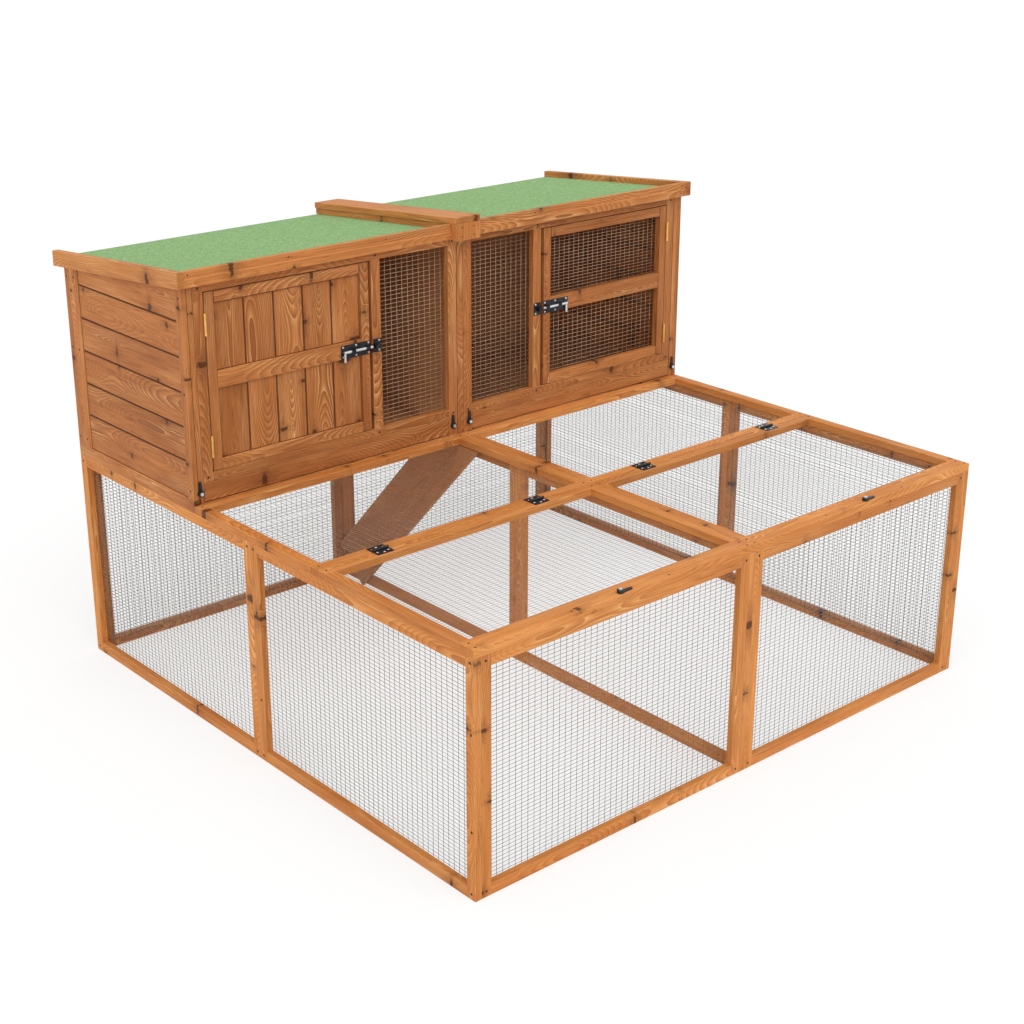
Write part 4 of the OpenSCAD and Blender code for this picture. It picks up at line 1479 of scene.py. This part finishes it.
@dataclass
class Doors:
    """The solid door, the mesh door, their hinges and their bolts."""

    shop: Workshop
    left: float = 65.5
    right: float = 589.5
    low: float = 726.5
    high: float = 1211.5
    lock_low: float = 950.5
    lock_high: float = 997.5
    stile: float = 30.0
    top: float = 32.0
    bottom: float = 30.0
    thick: float = 19.7
    boards: int = 5
    board_y: Span = (6.0, 15.0)
    lining_y: Span = (9.0, 11.0)
    groove: float = 1.5
    upright_pitch: float = 20.0
    level_pitches: Span = (12.2, 9.9)
    plate_t: float = 1.5
    plate_screw: Span = (3.0, 0.7)
    bolt_screws: tuple[float, ...] = (497.0, 541.0, 583.5)
    keeper_screw: float = 621.0
    bolt_rows: Span = (956.0, 984.0)

    def frame(self) -> list[Board]:
        """Lay out the left door's timber.

        Returns:
            Its two stiles and three rails.
        """
        y0, y1 = PLAN.hutch_y, PLAN.hutch_y + self.thick
        a, b = self.left + self.stile, self.right - self.stile
        return [
            # The stiles and the top rail get painted shade on their rounded edges for the gaps
            # round the door.
            Board.box((self.left, y0, self.low), (a, y1, self.high), Along.Z).with_gap_shade(),
            Board.box((b, y0, self.low), (self.right, y1, self.high), Along.Z).with_gap_shade(),
            Board.box((a, y0, self.low), (b, y1, self.low + self.bottom), Along.X),
            Board.box((a, y0, self.lock_low), (b, y1, self.lock_high), Along.X),
            Board.box((a, y0, self.high - self.top), (b, y1, self.high), Along.X,
                      Edge.GAP).with_gap_shade(),
        ]

    def build(self) -> None:
        """Build both doors with their fittings."""
        p, shop = PLAN, self.shop
        for hand in Hand:
            door = f"{hand.value}_door"
            made = Joinery(f"{door}_timber").add(*hand.boards(*self.frame()))
            shop.timber(made, Finish.HUTCH, door, f"{door}_frame")
        a, b = self.left + self.stile, self.right - self.stile
        step = (b - a) / self.boards
        (y0, y1), (in0, in1) = self.board_y, self.lining_y
        panels = ((self.low + self.bottom, self.lock_low), (self.lock_high, self.high - self.top))
        made = Joinery("left_door_panel_timber")
        for z0, z1 in panels:
            for i in range(self.boards):
                gap = 0 if i == self.boards - 1 else self.groove
                made.add(Board.box((a + i * step, p.hutch_y + y0, z0),
                                   (a + (i + 1) * step - gap, p.hutch_y + y1, z1), Along.Z,
                                   Edge.PANEL).with_gap_shade())
            made.add(Board.box((a, p.hutch_y + in0, z0), (b, p.hutch_y + in1, z1), Along.Z,
                               Edge.SHEET).with_gap_shade())
        shop.timber(made, Finish.HUTCH, "left_door", "left_door_boards")
        nets = [Net((p.run_w - b - p.lap, p.hutch_y + self.thick, z0 - p.lap), b - a + 2 * p.lap,
                    z1 - z0 + 2 * p.lap, Side.BACK, self.upright_pitch, level)
                for (z0, z1), level in zip(panels, self.level_pitches)]
        # The door's nets get the lighter, warmer wire: painted light.
        shop.mesh("right_door_mesh", nets, Finish.WARM_WIRE, "right_door", "right_door_nets")
        shop.dress(Finish.BRASS, "door_hinge_frame_leaves", "left_door_hinge_leaves",
                   "right_door_hinge_leaves")
        shop.dress(Finish.DARK_ZINC, "bolt_keepers", "left_bolt_case", "right_bolt_case")
        shop.dress(Finish.ZINC, "left_bolt_rod", "right_bolt_rod")
        self.screws()

    def screws(self) -> None:
        """Set the screws of the bolts and the keepers."""
        face = PLAN.hutch_y - self.plate_t
        spots = [(x, face, z) for x in self.bolt_screws for z in self.bolt_rows]
        for hand in Hand:
            bolt = Screws(f"{hand.value}_bolt_screws", *self.plate_screw)
            self.shop.screws(bolt.at(Side.FRONT, hand.points(spots)), Finish.ZINC,
                             f"{hand.value}_door")
        keep = Screws("keeper_screws", *self.plate_screw)
        keep.at_both(Side.FRONT, [(self.keeper_screw, face, z) for z in self.bolt_rows])
        self.shop.screws(keep, Finish.ZINC, HOUSING)


@dataclass
class Trays:
    """The two slide-out trays and their turn buttons."""

    shop: Workshop
    left: float = 34.0
    right: float = 870.0
    height: float = 52.0
    thick: float = 15.0

    def build(self) -> None:
        """Build the fronts and dress the pans, buttons and pivots."""
        p = PLAN
        front = Board.box((self.left, p.hutch_y, p.tray_z),
                          (self.right, p.hutch_y + self.thick, p.tray_z + self.height), Along.X)
        for hand in Hand:
            tray = f"{hand.value}_tray"
            made = Joinery(f"{tray}_timber").add(*hand.boards(front))
            self.shop.timber(made, Finish.HUTCH, tray, f"{tray}_front")
        self.shop.dress(Finish.SHEET, "left_tray_pan", "right_tray_pan")
        self.shop.dress(Finish.BLACK, *(f"tray_button_{letter}" for letter in "abcd"))
        self.shop.dress(Finish.ZINC, "pivot_screws")


@dataclass
class Roof:
    """The roof's sheets, felt, edge boards, fascia and centre cap."""

    shop: Workshop
    verge_t: float = 20.0
    verge_h: float = 43.5
    verge_up: float = 18.5
    cap_w: float = 90.0
    cap_t: float = 18.0
    cap_nose: float = 20.0
    cap_in: float = 4.0
    cap_rib: float = 20.0
    fascia_low: float = 1235.0
    fascia_lip: float = 3.0
    cap_nails: float = 22.0
    verge_nails: tuple[float, ...] = (1137.0, 1330.0, 1560.0, 1770.0)
    fascia_nails: tuple[float, ...] = (14.0, 320.0, 640.0)
    nail_sunk: float = 0.32
    nail_head: Span = (2.2, 0.3)
    cap_nail_in: float = 12.0
    verge_nail_down: float = 14.0
    fascia_nail_down: float = 11.0

    def slab(self, xs: Span, ys: Span, lo: float, hi: float) -> Board:
        """A board on the roof's slope between two heights over the roof line."""
        feet, tops = ([(y, PLAN.roof_line(y) + z) for y in ys] for z in (lo, hi))
        return Board.drawn(xs, [*feet, *reversed(tops)], (0, 1, -PLAN.fall))

    def build(self) -> None:
        """Build the roof's timber and dress its sheets and felt."""
        p, line = PLAN, PLAN.roof_line
        self.shop.dress(Finish.PANEL, "roof_sheets")
        self.shop.dress(Finish.FELT, "roof_felts")
        verge = self.slab((-self.verge_t, 0), (p.roof_y, p.total_d), -self.verge_h, 0)
        step_z = (self.fascia_low + line(p.roof_y)) / 2
        y_in = p.roof_y + self.fascia_lip
        fascia = Board.drawn((0, p.run_w), [
            (p.roof_y, self.fascia_low), (p.hutch_y, self.fascia_low),
            (p.hutch_y, line(p.hutch_y) - p.seat), (y_in, line(y_in) - p.seat), (y_in, step_z),
            (p.roof_y, step_z)], Along.X.value)
        left, right = p.mid_x - self.cap_w / 2, p.mid_x + self.cap_w / 2
        nose, low = p.roof_y - self.cap_nose, self.fascia_low - self.cap_in
        cap = [self.slab((x, x + self.cap_rib), (p.hutch_y + p.joint, p.total_d),
                         p.seat - self.verge_up, 0)
               for x in (left + self.cap_in, right - self.cap_in - self.cap_rib)]
        cap.append(self.slab((left, right), (nose, p.total_d), 0, self.cap_t))
        cap.append(Board.drawn((left, right), [
            (nose, low), (p.roof_y, low), (p.roof_y, line(p.roof_y) - p.joint),
            (nose, line(nose) - p.joint)], Along.Z.value))
        for made, node in ((Joinery("verge_timber").both_sides(verge), "verge_boards"),
                           (Joinery("fascia_timber").add(fascia), "fascia_board"),
                           (Joinery("centre_cap_timber").add(*cap), "centre_cap")):
            self.shop.timber(made, Finish.EDGE, HOUSING, node)
        nails = Screws("roof_nails", *self.nail_head)
        nails.at(Side.FRONT, [(p.mid_x + dx, nose, z) for dx in (-self.cap_nails, self.cap_nails)
                              for z in (line(nose) - self.cap_nail_in, low + self.cap_nail_in)])
        nails.at_both(Side.LEFT, [
            (-self.verge_t + self.nail_sunk, y, line(y) - self.verge_nail_down)
            for y in self.verge_nails])
        nails.at_both(Side.FRONT, [(x, y_in, line(y_in) - self.fascia_nail_down)
                                   for x in self.fascia_nails])
        self.shop.screws(nails, Finish.SCREW, HOUSING)


@dataclass
class Ramp:
    """The ramp that leans on its long edge against the partition."""

    shop: Workshop
    width: float = 163.0
    thick: float = 12.0
    slope_deg: float = 46.5
    heel_gap: float = 8.0
    under_net: float = 3.25
    cleat_t: float = 8.0
    cleat_w: float = 14.0
    cleat_in: float = 10.0
    first_cleat: float = 50.0
    last_gap: float = 20.0
    pitch: float = 85.0

    def build(self) -> None:
        """Build the board and its cleats."""
        p = PLAN
        s, c = math.sin(math.radians(self.slope_deg)), math.cos(math.radians(self.slope_deg))
        top = p.wall_h - self.under_net - p.seat
        foot = (p.run_d - p.timber_t - self.heel_gap - self.width * s, 0.0)
        low_edge, up_edge = top / s, (top - self.width * c) / s
        right = p.bay_r - self.cleat_t

        def on(up: float, across: float) -> Span:
            """A point of the board's face, from its foot."""
            return (foot[0] - c * up + s * across, foot[1] + s * up + c * across)

        face = [on(0, 0), on(0, self.width), on(up_edge, self.width), on(low_edge, 0)]
        board = Board.drawn((right - self.thick, right), face, (0, -c, s), Edge.RAMP)
        self.shop.timber(Joinery("ramp_timber").add(board), Finish.RAMP, HOUSING, "ramp_board")
        cleats = Joinery("ramp_cleat_timber")
        near, far = self.cleat_in, self.width - self.cleat_in
        at = self.first_cleat
        while at <= up_edge - self.last_gap:
            end = at + self.cleat_w
            cleats.add(Board.drawn((right, p.bay_r), [on(at, near), on(at, far), on(end, far),
                                                      on(end, near)], (0, s, c), Edge.CLEAT))
            at += self.pitch
        self.shop.timber(cleats, Finish.RAMP, HOUSING, "ramp_cleats")


# ---- Studio ----


@dataclass(frozen=True)
class Studio:
    """The floor, the light and the camera."""

    eye: Point = (-3.0993, -3.4929, 2.2995)
    ahead: Point = (0.6137, 0.7065, -0.3526)
    lens: float = 60.85
    sensor: float = 36.0
    shift: Span = (0.0123, -0.0234)
    sky: float = 0.62
    sun: float = 1.55
    fill: float = 0.35
    floor_size: float = 60.0
    floor_low: float = 0.0005
    floor_tone: float = 0.86
    floor_glow: float = 1.12
    glow_share: float = 0.55

    def build(self) -> None:
        """Make the floor, the lamps, the world and the camera."""
        self.floor()
        self.lamps()
        self.world()
        self.camera()

    def floor(self) -> None:
        """A pale floor that shows white to the camera and keeps the shadow."""
        bpy.ops.mesh.primitive_plane_add(size=self.floor_size, location=(0, 0, -self.floor_low))
        plane = bpy.context.object
        plane.name = "studio_floor"
        mat, n, shader = start_material("Studio floor")
        n.set(shader, Base_Color=(*(self.floor_tone,) * 3, 1), Roughness=0.9,
              Specular_IOR_Level=0.0)
        mixer = n.add("ShaderNodeMixShader")
        glow = n.out("ShaderNodeEmission", Strength=self.floor_glow)
        for socket, value in zip(mixer.inputs, (n.mul(n.seen(), self.glow_share),
                                                shader.outputs[0], glow)):
            n.feed(socket, value)
        n.set(mat.node_tree.nodes["Material Output"], Surface=mixer.outputs[0])
        plane.data.materials.append(mat)

    def lamps(self) -> None:
        """A wide soft key from the front left and above, and a weak fill."""
        for name, power, angle, aim in (("key", self.sun, 70.0, (0.35, 0.55, -1.0)),
                                        ("fill", self.fill, 90.0, (0.9, 0.35, -0.35))):
            light = bpy.data.lights.new(name, "SUN")
            light.energy, light.angle = power, math.radians(angle)
            self.aim(add_object(name, light), aim)

    def aim(self, obj: Object, ahead: Point) -> None:
        """Turn a lamp or a camera so that it looks ahead."""
        obj.rotation_mode = "QUATERNION"
        obj.rotation_quaternion = Vector(ahead).to_track_quat("-Z", "Y")

    def world(self) -> None:
        """A white world, plain to the camera and softer on the object."""
        world = bpy.data.worlds.new("studio")
        world.use_nodes = True
        n = Nodes(world.node_tree)
        power = n.plus(n.mul(n.seen(), 1.0 - self.sky), self.sky)
        n.set(world.node_tree.nodes["Background"], Color=(1, 1, 1, 1), Strength=power)
        bpy.context.scene.world = world

    def camera(self) -> None:
        """The camera at the photograph's place."""
        data = bpy.data.cameras.new("camera")
        data.lens, data.sensor_width = self.lens, self.sensor
        data.shift_x, data.shift_y = self.shift
        cam = add_object("camera", data)
        cam.location = self.eye
        self.aim(cam, self.ahead)
        bpy.context.scene.camera = cam


def main() -> None:
    """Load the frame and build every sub-assembly."""
    logging.basicConfig(level=logging.INFO, format="%(name)s: %(message)s")
    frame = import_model()
    bpy.context.scene.view_settings.view_transform = "Standard"
    Studio().build()
    effects = Effects(grain_group(), speckle_group())
    paint = {finish: finish.value.make(effects) for finish in Finish}
    shop = Workshop(net_growth(), screw_growth(), frame["nodes"], paint)
    makers: tuple[Callable[[Workshop], object], ...] = (
        RunWalls, RunTop, HutchBox, Doors, Trays, Roof, Ramp)
    for maker in makers:
        maker(shop).build()


if __name__ == "__main__":
    main()
